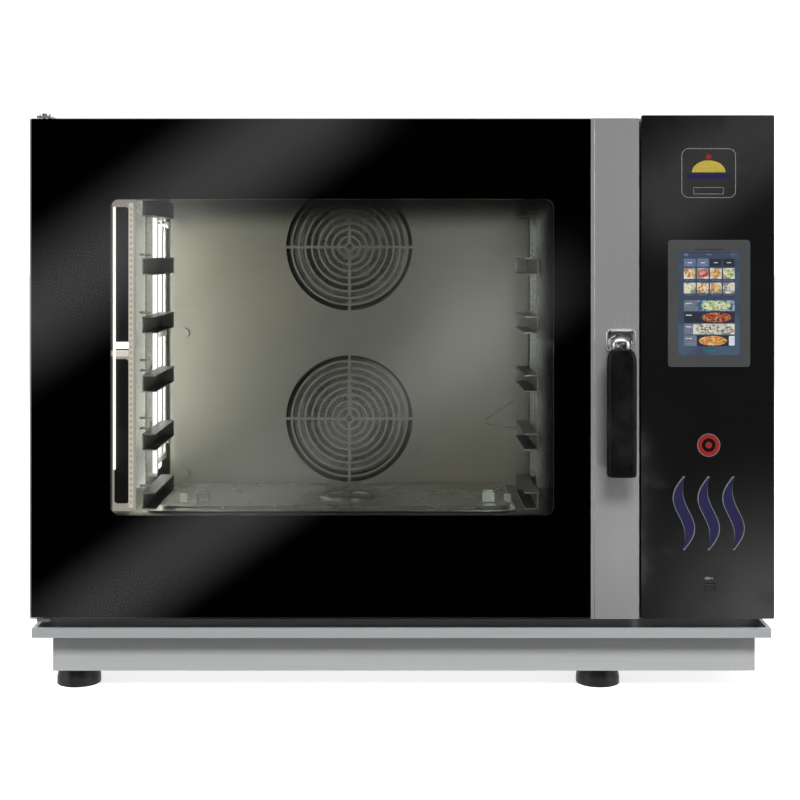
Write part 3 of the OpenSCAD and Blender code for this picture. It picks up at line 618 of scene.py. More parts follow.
def wire_rod(name, points, radius, material, body, sides=12):
    """A round rod that follows points, as a mesh tube."""
    rings = []
    for i, p in enumerate(points):
        here = Vector(p)
        before = Vector(points[max(i - 1, 0)])
        after = Vector(points[min(i + 1, len(points) - 1)])
        along = (after - before).normalized()
        side = along.cross(Vector((0, 0, 1)))
        if side.length < 0.1:
            side = along.cross(Vector((1, 0, 0)))
        side.normalize()
        up = side.cross(along)
        rings.append([here + radius * (math.cos(a) * side + math.sin(a) * up)
                      for a in (2 * math.pi * k / sides for k in range(sides))])
    verts, faces = ring_loft(rings)
    return place_mesh(name, verts, faces, [material], body, smooth=True)


# ---------------------------------------------------------------- the handle

def shape_grip():
    """The black grip: a flat-fronted bar with straight sides, an arched top and small corners below."""
    low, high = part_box("handle_grip")
    cx, cy = (low[0] + high[0]) / 2, (low[1] + high[1]) / 2
    half_x, half_y = (high[0] - low[0]) / 2, (high[1] - low[1]) / 2
    arch, corner = 17 * MM, 4 * MM
    below = [0.0, 0.1, 0.3, 0.6, 1.0]
    above = [1.0, 0.75, 0.5, 0.3, 0.15, 0.05, 0.0]
    levels = [(low[2] + t * corner, math.sqrt(1 - (1 - t) ** 2) * 0.16 + 0.84) for t in below]
    middle = 8
    for i in range(1, middle):
        t = i / middle
        levels.append((low[2] + corner + t * (high[2] - low[2] - arch - corner), 1.0))
    levels += [(high[2] - t * arch, math.sqrt(1 - (1 - t) ** 2) * 0.5 + 0.5) for t in above]
    rings = []
    for z, fill in levels:
        depth = 0.5 + 0.5 * fill
        rings.append([(cx + x, cy + y, z) for x, y in squircle(half_x * fill, half_y * depth, 3.6)])
    verts, faces = ring_loft(rings)
    grip = place_mesh("grip_form", verts, faces, [grip_plastic], "handle", smooth=True)
    smooth_form(grip, 1)
    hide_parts("handle_grip")


def shape_neck():
    """The chrome knuckle: round where it leaves the plate, domed in front, its lower half behind the grip."""
    low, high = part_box("handle_neck")
    grip_low, grip_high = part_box("handle_grip")
    plate_low, plate_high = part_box("handle_escutcheon")
    cx = (grip_low[0] + grip_high[0]) / 2
    root_x = (plate_low[0] + plate_high[0]) / 2
    cz = grip_high[2] + 3 * MM
    back, front = high[1], low[1] - 3 * MM
    stations = [(0.0, 15.5, 12.0), (0.12, 14.5, 11.5), (0.3, 12.5, 10.5), (0.55, 12.0, 10.5),
                (0.75, 12.5, 10.8), (0.9, 11.5, 9.6), (0.98, 8.5, 6.8), (1.0, 4.0, 3.2)]
    rings = []
    for t, half_x, half_z in stations:
        y = back + t * (front - back)
        x0 = root_x + (cx - root_x) * t
        rings.append([(x0 + x * MM, y, cz + z * MM) for x, z in squircle(half_x, half_z, 2.3)])
    verts, faces = ring_loft(rings)
    neck = place_mesh("neck_form", verts, faces, [chrome], "handle", smooth=True)
    smooth_form(neck, 2)
    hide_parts("handle_neck")


def shape_escutcheon():
    """The chrome plate behind the neck: a squared oval with a raised rim round a shallow dish."""
    low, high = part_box("handle_escutcheon")
    cx, cz = (low[0] + high[0]) / 2, (low[2] + high[2]) / 2
    half_x, half_z = (high[0] - low[0]) / 2, (high[2] - low[2]) / 2
    depth = high[1] - low[1]
    rings = []
    profile = ((0.0, 1.0), (0.45, 1.0), (0.8, 0.985), (0.97, 0.95),
               (1.0, 0.9), (0.97, 0.84), (0.95, 0.6), (0.95, 0.3))
    for t, size in profile:
        y = high[1] - t * depth
        rings.append([(cx + x, y, cz + z) for x, z in squircle(half_x * size, half_z * size, 5.0)])
    verts, faces = ring_loft(rings)
    plate = place_mesh("escutcheon_form", verts, faces, [chrome], "door", smooth=True)
    smooth_form(plate, 2)
    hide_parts("handle_escutcheon")


shape_grip()
shape_neck()
shape_escutcheon()


# ---------------------------------------------------------------- the door's details

door_low, door_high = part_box("door_outer_glass")
mask_low, mask_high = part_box("door_glass_mask")
lamp_low, lamp_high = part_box("door_light_bar")
WINDOW = (door_low[0] + 100.5 * MM, door_high[0] - 46 * MM, door_low[2] + 128.7 * MM, door_high[2] - 101.1 * MM)

# How far the print fades in from each edge of the window, and how dense it is there. The deep band along the
# top is painted shade over the interior, kept thin over the light bar
FADE_LEFT, FADE_RIGHT, FADE_BOTTOM, PAINTED_SHADE_TOP = 3 * MM, 22 * MM, 4 * MM, 42 * MM


def fade_material():
    """Black dots of print that thin out from the border into the clear window; the deep band along the top is
    painted shade.
    """
    material, tree, shader = surface("Fading print and painted shade", Metallic=0.0, Roughness=0.2)
    material.surface_render_method = "BLENDED"
    x0, x1, z0, z1 = WINDOW
    place = tree.nodes.new("ShaderNodeSeparateXYZ")
    wire(tree, object_place(tree), place.inputs[0])
    haze = 0.0
    for edge, sign, axis, reach, density in ((x0, 1, "X", FADE_LEFT, 0.8), (x1, -1, "X", FADE_RIGHT, 0.8),
                                             (z0, 1, "Z", FADE_BOTTOM, 0.45), (z1, -1, "Z", PAINTED_SHADE_TOP, 0.76)):
        inside = times(tree, maths(tree, "SUBTRACT", place.outputs[axis], edge), sign)
        cover = remap(tree, inside, 0.0, reach, density, 0.0)
        if reach == PAINTED_SHADE_TOP:    # the painted shade along the top stays thin over the light bar
            clear_of_lamp = remap(tree, place.outputs["X"], x0 + 30 * MM, x0 + 170 * MM, 0.12, 1.0)
            cover = times(tree, cover, clear_of_lamp)
        haze = maths(tree, "MAXIMUM", cover, haze)
    wire(tree, haze, shader.inputs["Alpha"])
    dots = noise(tree, object_place(tree), 900.0)
    paint(tree, shader, mix_colour(tree, dots, (0.005, 0.005, 0.005), (0.012, 0.012, 0.012)))
    return material


def window_fade():
    x0, x1, z0, z1 = WINDOW
    outer = rounded_outline(x0 + 0.2 * MM, x1 - 0.2 * MM, z0 + 0.2 * MM, z1 - 0.2 * MM, 11 * MM)
    inner = rounded_outline(x0 + FADE_LEFT, x1 - FADE_RIGHT, z0 + FADE_BOTTOM, z1 - PAINTED_SHADE_TOP, 4 * MM)
    y = mask_low[1] + 0.15 * MM
    upright_band("window_print_fade_and_painted_shade", outer, inner, y, y + 0.2 * MM, fade_material(), "door")


def light_bar():
    """The lit ladder behind the left edge of the window: a rail of chips, a slim outer rail and three arms.

    A dark plate closes its two openings, painted shade; the frames round them glow dimly, a painted glow; and a
    bright lens runs down the outer rail and along the middle arm.
    """
    y0, y1 = lamp_low[1], lamp_low[1] + 6 * MM
    right = lamp_high[0]
    rail = 8.5 * MM
    left = WINDOW[0] - 1.0 * MM
    slim = 4.6 * MM
    bottom, top = lamp_low[2] + 5 * MM, lamp_high[2] - 2 * MM
    middle = (bottom + top) / 2
    arm = 9 * MM
    panes = ((middle + arm / 2, top - arm), (bottom + arm, middle - arm / 2))
    for name, (z0, z1), (low, high) in (("light_bar_upper_frame", panes[0], (middle, top)),
                                        ("light_bar_lower_frame", panes[1], (bottom, middle))):
        outer = rounded_outline(left, right, low, high, 1.5 * MM)
        inner = rounded_outline(left + slim, right - rail, z0, z1, 4 * MM)
        upright_band(name, outer, inner, y0, y1, painted_glow_sheet, "door")
    # black plates close the frames' openings: painted shade
    for name, (z0, z1) in (("light_bar_upper_shade_plate", panes[0]), ("light_bar_lower_shade_plate", panes[1])):
        plate = rounded_outline(left + slim / 2, right - rail / 2, z0 - 3 * MM, z1 + 3 * MM, 5 * MM)
        upright_plate(name, plate, y1 - 2 * MM, y1 + 1 * MM, black_plastic, "door", 0.3 * MM)

    def lit_plate(name, x0, x1, z0, z1, radius, proud, back, lens, edge=0.4):
        outline = rounded_outline(x0, x1, z0, z1, radius * MM)
        return upright_plate(name, outline, y0 - proud * MM, back, lens, "door", edge * MM)

    chip_rail = lit_plate("light_bar_form", right - rail + 0.4 * MM, right - 2.2 * MM, bottom + 4 * MM,
                          top - 4 * MM, 2, 0.7, y0 + 1 * MM, lamp_strip, 0.3)
    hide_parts("door_light_bar")
    lit_plate("light_bar_outer_lens", left + 4.2 * MM, left + slim + 2.2 * MM, middle - 143 * MM, top - arm,
              1.0, 1.2, y0 + 1 * MM, lamp_lens)
    lit_plate("light_bar_joint_lens", left + slim, right - rail, middle + arm * 0.95, middle + arm * 1.85,
              1.5, 0.5, y1, lamp_lens)
    lit_plate("light_bar_crossing", left, right - rail, middle - arm * 0.15, middle + arm * 0.7,
              1.5, 0.3, y1, lamp_arm)
    lamp_chips(right - 2.2 * MM - (rail - 2.6 * MM) / 2, y0 - 0.7 * MM, bottom + 8 * MM, top - 8 * MM)


def lamp_chips(x, y, z0, z1):
    """A row of small square chips up the chip rail."""
    count = int((z1 - z0) / (7.1 * MM))
    profile = ((-0.5, 2.1), (0.2, 2.1), (0.4, 1.9), (0.4, 1.4), (0.3, 1.2))
    lofts = []
    for i in range(count):
        z = z0 + (i + 0.5) * (z1 - z0) / count
        rings = [[(x + a * MM, y - rise * MM, z + b * MM) for a, b in squircle(size, size * 0.9, 5, 12)]
                 for rise, size in profile]
        lofts.append(ring_loft(rings))
    verts, faces = join_lofts(lofts)
    place_mesh("light_bar_chips", verts, faces, [lamp_chip], "door", smooth=False)


def strip_bead():
    """A narrow rolled bead down the inner edge of the steel strip."""
    low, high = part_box("door_handle_strip")
    x = low[0] + 4.5 * MM
    y = low[1] + 0.15 * MM
    wire_rod("strip_bead", [(x, y, low[2] + 1 * MM), (x, y, high[2] - 1 * MM)], 0.45 * MM, upright_steel,
             "door", 8)


strip_bead()
window_fade()
light_bar()


# ---------------------------------------------------------------- the control fascia

screen_low, screen_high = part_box("display_panel")
fascia_low, fascia_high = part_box("fascia_glass")


def dish_picture(name, first, second, third, strength=0.6):
    """A lit picture of food, as soft patches of three colours."""
    material, tree, shader = surface(name, Metallic=0.0, Emission_Strength=strength)
    patches = noise(tree, object_place(tree), 240.0, 2.0)
    tone = mix_colour(tree, remap(tree, patches, 0.44, 0.54), first, second)
    spots = noise(tree, object_place(tree, (1.0, 1.0, 1.5)), 300.0, 3.0)
    tone = mix_colour(tree, remap(tree, spots, 0.5, 0.6), tone, third)
    uneven = remap(tree, patches, 0.3, 0.7, 0.12, 0.25)
    paint(tree, shader, mix_colour(tree, 0.7, tone, UNLIT), uneven, tone)
    return material


def screen_picture():
    """The lit picture: small keys, eight dishes on plates with captions, four wide banners and a teal line."""
    palette = [
        lit_tile("Screen pale key", (0.13, 0.17, 0.28), 0.7),
        lit_tile("Screen dark key", (0.02, 0.026, 0.042), 0.7),
        dish_picture("Dish of bread", (0.75, 0.42, 0.16), (0.85, 0.66, 0.4), (0.22, 0.09, 0.03)),
        dish_picture("Dish of berries", (0.6, 0.03, 0.05), (0.7, 0.35, 0.36), (0.3, 0.02, 0.02)),
        dish_picture("Dish of shrimp", (0.8, 0.22, 0.04), (0.75, 0.5, 0.25), (0.12, 0.2, 0.03)),
        dish_picture("Dish of salad", (0.4, 0.5, 0.22), (0.75, 0.72, 0.5), (0.12, 0.28, 0.05)),
        dish_picture("Dish of meat", (0.4, 0.07, 0.03), (0.6, 0.22, 0.1), (0.05, 0.02, 0.015)),
        dish_picture("Dish of fish", (0.4, 0.42, 0.38), (0.7, 0.68, 0.55), (0.12, 0.1, 0.05)),
        lit_tile("Banner grey", (0.17, 0.2, 0.25), 0.6),
        lit_tile("Screen white", (0.7, 0.74, 0.8), 0.6),
        lit_tile("Screen teal", (0.01, 0.2, 0.22), 0.8),
        lit_tile("Plate white", (0.66, 0.62, 0.54), 0.65, (0.25, 0.22, 0.18), 130.0),
        lit_tile("Banner blue", (0.05, 0.1, 0.2), 0.7, (0.3, 0.38, 0.42), 160.0),
    ]
    grey, white, plate_shade, blue_shade = 8, 9, 11, 12
    width = screen_high[0] - screen_low[0]
    height = screen_high[2] - screen_low[2]
    front = screen_low[1] - 0.25 * MM
    first, across, pitch = 0.09, 0.19, 0.213
    tiles = [(first, 0.015, first + 0.07, 0.04, 0), (0.46, 0.02, 0.54, 0.03, 0), (0.86, 0.02, 0.92, 0.03, 0)]
    ovals = []
    for i in range(4):
        left = first + pitch * i
        tiles.append((left, 0.064, left + across, 0.142, 0 if i < 2 else 1))
        tiles.append((left + 0.06, 0.1, left + 0.13, 0.108, white))
        for row, top in enumerate((0.156, 0.298)):
            food = (2, 3, 4, 5, 5, 2, 4, 7)[i + 4 * row]
            tiles.append((left, top, left + across, top + 0.105, plate_shade))
            ovals.append((left + 0.015, top + 0.012, left + across - 0.012, top + 0.09, food))
            tiles.append((left + 0.02, top + 0.117, left + across - 0.02, top + 0.122, 0))
    banners = ((blue_shade, 5, 0.37, 0.86), (1, 6, 0.37, 0.88), (plate_shade, 7, 0.28, 0.9), (1, 4, 0.33, 0.8))
    for row, (ground, food, oval_left, oval_right) in enumerate(banners):
        top = 0.47 + 0.1135 * row
        split = (0.3, 0.32, 0.24, 0.3)[row]
        tiles.append((first, top, split, top + 0.103, grey if row != 1 else 1))
        tiles.append((split, top, 0.918, top + 0.103, ground))
        ovals.append((oval_left, top + 0.005, oval_right, top + 0.098, food))
        tiles.append((first + 0.03, top + 0.026, first + 0.13, top + 0.034, white))
    tiles.append((0.824, 0.8155, 0.918, 0.9085, white))
    tiles.append((0.395, 0.955, 0.61, 0.962, 10))
    lofts, shades = [], []
    for order, (left, top, right, bottom, tone) in enumerate(tiles + ovals):
        x0, x1 = screen_low[0] + left * width, screen_low[0] + right * width
        z1, z0 = screen_high[2] - top * height, screen_high[2] - bottom * height
        if order < len(tiles):
            outline = rounded_outline(x0, x1, z0, z1, min(0.6 * MM, (z1 - z0) / 2.2), 2)
        else:
            outline = oval_outline((x0 + x1) / 2, (z0 + z1) / 2, (x1 - x0) / 2, (z1 - z0) / 2, 20)
        proud = front - 0.002 * MM * order
        lofts.append(ring_loft([[(x, y, z) for x, z in outline] for y in (proud, front + 0.2 * MM)]))
        shades += [tone] * len(lofts[-1][1])
    verts, faces = join_lofts(lofts)
    picture = place_mesh("screen_picture", verts, faces, palette, "cabinet")
    picture.data.polygons.foreach_set("material_index", shades)
    bar_z = screen_high[2] + 3.2 * MM
    cx = (screen_low[0] + screen_high[0]) / 2
    bar = rounded_outline(cx - 17 * MM, cx + 17 * MM, bar_z - 0.5 * MM, bar_z + 0.5 * MM, 0.4 * MM)
    bezel_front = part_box("display_bezel")[0][1]
    upright_plate("screen_speaker_slot", bar, bezel_front - 0.15 * MM, bezel_front + 0.3 * MM, black_plastic,
                  "cabinet")


def wavy_line(x, z, height, swing, half_width, count=22):
    """Outline points of one rising wisp of steam, pointed at both ends."""
    left, right = [], []
    for i in range(count + 1):
        t = i / count
        centre = x + swing * math.sin(2 * math.pi * t)
        half = half_width * math.sin(math.pi * min(max(t, 0.02), 0.98)) ** 0.7
        left.append((centre - half, z + t * height))
        right.append((centre + half, z + t * height))
    return right + left[::-1]


def fascia_marks():
    """Plain marks in place of badges: an outlined dish cover, a heat ring and three wisps of steam."""
    silver = print_ink("Silver print", (0.2, 0.2, 0.21))
    navy = print_ink("Navy print", (0.014, 0.013, 0.06))
    red = print_ink("Red print", (0.27, 0.015, 0.015))
    gold = print_ink("Gold print", (0.42, 0.33, 0.05))
    y = fascia_low[1] - 0.25 * MM
    back = fascia_low[1] + 0.1 * MM
    cx = fascia_low[0] + 84 * MM
    badge_z = fascia_high[2] - 72.5 * MM

    def plate(name, outline, ink, slot, proud=0.0):
        upright_plate(name, outline, y - proud, back, ink, "cabinet")

    def outlined_box(name, z, half_w, half_h, radius, line):
        outer = rounded_outline(cx - half_w, cx + half_w, z - half_h, z + half_h, radius)
        inner = rounded_outline(cx - half_w + line, cx + half_w - line, z - half_h + line, z + half_h - line,
                                radius - line)
        upright_band(name, outer, inner, y, back, silver, "cabinet")

    outlined_box("badge_outline", badge_z, 34 * MM, 31 * MM, 9 * MM, 0.9 * MM)
    outlined_box("badge_lower_box", badge_z - 22 * MM, 19 * MM, 4.4 * MM, 1.6 * MM, 0.7 * MM)
    cover = oval_outline(cx, badge_z + 1 * MM, 21 * MM, 15 * MM, 40)[:21]
    plate("badge_dish_cover", cover, gold, "brass")
    plate("badge_dish_knob", disc_outline(cx, badge_z + 20.5 * MM, 3.2 * MM, 24), red, "brass")
    rim = rounded_outline(cx - 27 * MM, cx + 27 * MM, badge_z - 7 * MM, badge_z - 1 * MM, 2 * MM)
    plate("badge_dish_rim", rim, navy, "screen")
    ring_z = fascia_low[2] + 217 * MM
    rim, ring, hole = (disc_outline(cx, ring_z, radius * MM) for radius in (14.4, 13.6, 8.5))
    upright_band("heat_ring_edge", rim, ring, y, back, silver, "cabinet")
    upright_band("heat_ring", ring, hole, y, back, red, "cabinet")
    plate("heat_spot", disc_outline(cx, ring_z, 4.2 * MM, 24), red, "brass")
    steam_z = fascia_low[2] + 88 * MM
    for i, shift in enumerate((-31, 0, 31)):
        wisp = wavy_line(cx + shift * MM, steam_z, 88 * MM, 7 * MM, 7.2 * MM)
        plate(f"steam_wisp_{i + 1}", wisp, navy, "screen", 0.12 * MM)
        edge = wavy_line(cx + shift * MM, steam_z - 2 * MM, 92 * MM, 7.3 * MM, 8.2 * MM)
        plate(f"steam_outline_{i + 1}", edge, silver, "chrome")
    port_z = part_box("usb_cover")[1][2] + 7 * MM
    plug = rounded_outline(cx - 5 * MM, cx + 2 * MM, port_z - 1.6 * MM, port_z + 1.6 * MM, 1 * MM)
    plate("port_mark", plug, silver, "chrome")
    stem = rounded_outline(cx + 2.4 * MM, cx + 5.5 * MM, port_z - 0.9 * MM, port_z + 0.9 * MM, 0.4 * MM)
    plate("port_mark_stem", stem, silver, "chrome")


screen_picture()
fascia_marks()


# ---------------------------------------------------------------- screws and small fittings

def screw_heads(name, centres, normal, body, radius=4.5 * MM):
    """Low domed heads with a six-sided socket, facing along normal."""
    axis = Vector(normal)
    turn = axis.to_track_quat("Z", "Y").to_matrix()
    profile = [(1.0, 0.0), (1.0, 0.25), (0.9, 0.42), (0.6, 0.52), (0.5, 0.52), (0.45, 0.2)]
    lofts = []
    for centre in centres:
        rings = [[Vector(centre) + turn @ Vector((x, y, radius * rise))
                  for x, y in disc_outline(0.0, 0.0, radius * size, 18)] for size, rise in profile]
        lofts.append(ring_loft(rings))
    verts, faces = join_lofts(lofts)
    return place_mesh(name, verts, faces, [pin_steel], body, smooth=False)


def add_screws():
    low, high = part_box("rear_panel")
    zs = [low[2] + 18 * MM, (low[2] + high[2]) / 2, high[2] - 18 * MM]
    xs = [low[0] + 14 * MM, low[0] + 330 * MM, high[0] - 330 * MM, high[0] - 14 * MM]
    points = [(x, high[1], z) for x in xs for z in zs]
    screw_heads("rear_screws", points, (0, 1, 0), "cabinet")
    for name, side, normal in (("left_screws", 0, -1), ("right_screws", 1, 1)):
        node = "left_side_panel" if side == 0 else "right_side_panel"
        low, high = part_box(node)
        x = low[0] if side == 0 else high[0]
        ys = [low[1] + 16 * MM, (low[1] + high[1]) / 2, high[1] - 16 * MM]
        points = [(x, y, z) for y in ys for z in (low[2] + 14 * MM, high[2] - 14 * MM)]
        screw_heads(name, points, (normal, 0, 0), "cabinet")
    low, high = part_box("top_cover")
    points = [(x, y, high[2]) for x in (low[0] + 14 * MM, high[0] - 14 * MM)
              for y in (low[1] + 60 * MM, (low[1] + high[1]) / 2, high[1] - 20 * MM)]
    screw_heads("top_screws", points, (0, 0, 1), "cabinet")


liner_low, liner_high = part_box("cavity_liner")
baffle_low, baffle_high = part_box("fan_baffle")
LINER_T = 2 * MM
WALL_X = liner_low[0] + LINER_T
FLOOR_Z = liner_low[2] + LINER_T

# From the front end of a rack to the faces of its two flat uprights
FIRST_UPRIGHT, SECOND_UPRIGHT = 119 * MM, 219 * MM
MIDDLE_X = (liner_low[0] + liner_high[0]) / 2


def wall_lamp():
    """A tall white lamp lens on the left wall beside the baffle, with a short arm at mid height."""
    y1 = baffle_low[1] - 6 * MM
    y0 = y1 - 80 * MM
    z0, z1 = FLOOR_Z + 32 * MM, FLOOR_Z + 428 * MM
    side_plate("wall_lamp_lens", rounded_outline(y0, y1, z0, z1, 8 * MM), WALL_X + 0.3 * MM, WALL_X + 4 * MM,
               lamp_lens, "cabinet", 1.2 * MM)
    arm = rounded_outline(y0 - 50 * MM, y0 + 10 * MM, z0 + 201 * MM, z0 + 211 * MM, 4 * MM)
    side_plate("wall_lamp_arm", arm, WALL_X + 0.3 * MM, WALL_X + 3.5 * MM, lamp_lens, "cabinet",
               1.0 * MM)


def rack_rungs():
    """Short wire rungs on the left rack's first upright, two bent round, in a paler steel as painted highlight,
    and a glowing strip on the second upright, also a painted highlight.
    """
    low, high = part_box("left_rack_frame")
    radius = 1.5 * MM
    y = low[1] + FIRST_UPRIGHT - 0.95 * radius
    x0, x1 = high[0] - 7 * MM, high[0] + 8 * MM
    pitch = (high[2] - low[2] - 80 * MM) / 4
    for i in range(5):
        z = low[2] + 4 * MM + pitch * i
        points = [(x0, y, z), ((x0 + x1) / 2, y, z), (x1 - 1 * MM, y, z), (x1, y, z + 1 * MM)]
        if i in (1, 2):
            points += [(x1, y, z + 13 * MM), (x1 - 1 * MM, y, z + 14 * MM), (x0, y, z + 14 * MM)]
        wire_rod(f"rack_rung_{i + 1}", points, radius, highlit_rung_steel, "left_rack", 8)
    # a strip of glowing lamp lens down the second upright: a painted highlight, the rack has no lamp there
    face = low[1] + SECOND_UPRIGHT
    trim = rounded_outline(high[0] - 6.5 * MM, high[0] - 0.3 * MM, low[2] + 6 * MM, high[2] - 6 * MM, 1.5 * MM)
    upright_plate("rack_edge_painted_highlight", trim, face - 2.4 * MM, face, lamp_lens, "left_rack", 0.5 * MM)


def floor_pan():
    """A shallow pan on the cavity floor with a rolled rim, two clips and two locating tabs, the left tab
    glowing as a painted highlight.
    """
    x0, x1 = WALL_X + 30 * MM, WALL_X + 545 * MM
    y0, y1 = -52 * MM, baffle_low[1] - 8 * MM
    profile = ((-24, 0.6), (-23, 3.0), (-20, 3.6), (-16, 3.0), (-10, 1.4), (-2, 1.6), (0, 5.6), (2.5, 6.6),
               (5, 5.6), (8, 2.4), (40, 2.0))
    rings = []
    for inset, height in profile:
        rim = inset * MM
        back = max(rim, -4 * MM)
        side = max(rim, -10 * MM)
        outline = rounded_outline(x0 + side, x1 - side, y0 + rim, y1 - back, 14 * MM)
        rings.append([(x, y, FLOOR_Z + height * MM) for x, y in outline])
    verts, faces = ring_loft(rings)
    pan = place_mesh("floor_pan", verts, faces, [pan_steel], "cabinet", smooth=True)
    smooth_form(pan, 1)
    for side in (-1, 1):
        name = "left" if side < 0 else "right"
        clip_x = MIDDLE_X + side * 214 * MM
        tab_x = MIDDLE_X + side * 242 * MM
        rise = FLOOR_Z + 3 * MM
        clip = rounded_outline(clip_x - 9.5 * MM, clip_x + 9.5 * MM, rise, rise + 15 * MM, 2 * MM)
        upright_plate(f"pan_clip_{name}", clip, 0.0, 5 * MM, pan_steel, "cabinet", 1.2 * MM)
        fold = rounded_outline(clip_x - 7 * MM, clip_x + 7 * MM, rise + 15 * MM, rise + 18 * MM, 1.4 * MM)
        upright_plate(f"pan_clip_fold_{name}", fold, 1 * MM, 14 * MM, pan_steel, "cabinet",
                      0.8 * MM)
        tab = rounded_outline(tab_x - 5.5 * MM, tab_x + 5.5 * MM, rise, rise + 13 * MM, 1.5 * MM)
        # the left tab glows: a painted highlight
        upright_plate(f"pan_tab_{name}", tab, -3 * MM, 0.0, painted_glow_sheet if side < 0 else pan_steel, "cabinet",
                      0.8 * MM)


def rack_spring():
    """The bent wire clip on the right rack, a V on its side."""
    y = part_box("right_tray_supports")[0][1] + 110 * MM
    course = [(160.5, 342.5), (148, 334), (134, 325), (122.5, 316.5), (120.8, 312.5),
              (125.5, 309.2), (140, 306.2), (165, 304.2), (191, 303.5)]
    points = [(x * MM, y, z * MM) for x, z in course]
    wire_rod("rack_spring_clip", points, 0.8 * MM, shaded_support_steel, "right_rack", 8)


add_screws()
wall_lamp()
rack_rungs()
floor_pan()
rack_spring()


# ---------------------------------------------------------------- stage, lights and camera

# The eye stands square on to the front, level with the upper part of the window
EYE_DISTANCE = 1.815
EYE = (-0.0025, door_low[1] - EYE_DISTANCE, 0.560)
CARD_DISTANCE = 4.6    # from the front glass to the cards that it mirrors


def square_corners(half):
    return [(-half, -half, 0), (half, -half, 0), (half, half, 0), (-half, half, 0)]


def paper_floor():
    material, tree, shader = surface("Pale floor", Specular_IOR_Level=0.1, Emission_Strength=0.72)
    shader.inputs["Emission Color"].default_value = (1.0, 1.0, 1.0, 1.0)
    tone = mix_colour(tree, noise(tree, object_place(tree), 3.0), (0.93, 0.93, 0.93), (0.96, 0.96, 0.96))
    paint(tree, shader, tone, remap(tree, noise(tree, object_place(tree), 40.0), 0.0, 1.0, 0.75, 0.95))
    mesh = bpy.data.meshes.new("floor")
    mesh.from_pydata(square_corners(30.0), [], [(0, 1, 2, 3)])
    mesh.materials.append(material)
    floor = bpy.data.objects.new("floor", mesh)
    bpy.context.scene.collection.objects.link(floor)
    floor.visible_glossy = False
    floor.visible_transmission = False
    floor.visible_diffuse = False


def area_light(name, place, aim, size, power, colour=(1, 1, 1), seen=True, roll=0.0):
    light = bpy.data.lights.new(name, "AREA")
    light.shape = "RECTANGLE"
    light.size, light.size_y = size
    light.energy = power
    light.color = colour
    lamp = bpy.data.objects.new(name, light)
    lamp.location = place
    facing = (Vector(aim) - Vector(place)).to_track_quat("-Z", "Y").to_matrix()
    lamp.matrix_world = Matrix.Translation(place) @ (facing @ Matrix.Rotation(roll, 3, "Z")).to_4x4()
    lamp.visible_camera = False
    lamp.visible_glossy = seen
    lamp.visible_transmission = False
    bpy.context.scene.collection.objects.link(lamp)
    return lamp


def glow_card(name, start, end, width, strength, sharp=0.1, round_spot=False):
    """A card behind the viewer for the front glass to mirror as a soft band, or as a soft round spot.

    start and end are the places on the front glass, in X and Z, between which the band's middle is seen,
    and width is the band's width there.
    """
    glass_y = door_low[1]
    reach = EYE_DISTANCE + CARD_DISTANCE
    spread = reach / EYE_DISTANCE

    def beyond(x, z):
        return Vector((EYE[0] + (x - EYE[0]) * spread, glass_y - CARD_DISTANCE, EYE[2] + (z - EYE[2]) * spread))

    a, b = beyond(*start), beyond(*end)
    material = bpy.data.materials.new(name)
    material.use_nodes = True
    tree = material.node_tree
    tree.nodes.clear()
    output = tree.nodes.new("ShaderNodeOutputMaterial")
    glow = tree.nodes.new("ShaderNodeEmission")
    place = tree.nodes.new("ShaderNodeSeparateXYZ")
    wire(tree, tree.nodes.new("ShaderNodeTexCoord").outputs["Object"], place.inputs[0])
    if round_spot:
        squares = [times(tree, place.outputs[axis], place.outputs[axis]) for axis in "XY"]
        away = maths(tree, "SQRT", plus(tree, *squares))
        across = along = remap(tree, away, sharp, 0.5, 1.0, 0.0)
    else:
        across = remap(tree, maths(tree, "ABSOLUTE", place.outputs["Y"]), sharp, 0.5, 1.0, 0.0)
        along = remap(tree, maths(tree, "ABSOLUTE", place.outputs["X"]), 0.3, 0.5, 1.0, 0.0)
    power = times(tree, times(tree, across, along), strength)
    wire(tree, power, glow.inputs["Strength"])
    clear = tree.nodes.new("ShaderNodeBsdfTransparent")
    both = tree.nodes.new("ShaderNodeAddShader")
    wire(tree, glow.outputs[0], both.inputs[0])
    wire(tree, clear.outputs[0], both.inputs[1])
    wire(tree, both.outputs[0], output.inputs["Surface"])
    mesh = bpy.data.meshes.new(name)
    mesh.from_pydata(square_corners(0.5), [], [(0, 1, 2, 3)])
    mesh.materials.append(material)
    card = bpy.data.objects.new(name, mesh)
    along_way = (b - a).normalized()
    facing = Vector((0, 1, 0))
    sideways = facing.cross(along_way)
    turn = Matrix((along_way, sideways, facing)).transposed().to_4x4()
    size = Matrix.Diagonal(((b - a).length, width * spread, 1, 1))
    card.matrix_world = Matrix.Translation((a + b) / 2) @ turn @ size
    card.visible_camera = False
    card.visible_diffuse = False
    card.visible_transmission = False
    card.visible_shadow = False
    bpy.context.scene.collection.objects.link(card)


def glow_cards():
    """Two slanting bands over the door, one over the fascia, a spot at its corner and a glow on the strip."""
    wide, tall = door_high[0] - door_low[0], door_high[2] - door_low[2]

    def spot(u, v):
        return door_low[0] + u * wide, door_low[2] + v * tall

    glow_card("upper glow", spot(-0.163, 0.478), spot(0.657, 1.138), 0.205, 1.3, 0.0)
    glow_card("lower glow", spot(-0.092, -0.155), spot(1.028, 0.755), 0.158, 1.12, 0.02)
    glow_card("fascia glow", spot(1.04, 0.76), spot(1.5, 1.14), 0.17, 0.75, 0.1)
    corner = (fascia_high[0], fascia_low[2])
    glow_card("corner glow", (corner[0] - 0.27, corner[1]), (corner[0] + 0.27, corner[1]), 0.54, 1.6, 0.0, True)
    strip_low, strip_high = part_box("door_handle_strip")
    strip_x = (strip_low[0] + strip_high[0]) / 2
    glow_card("strip glow", (strip_x, strip_low[2] + 0.01), (strip_x, strip_low[2] + 0.25), 0.052, 4.0, 0.4)


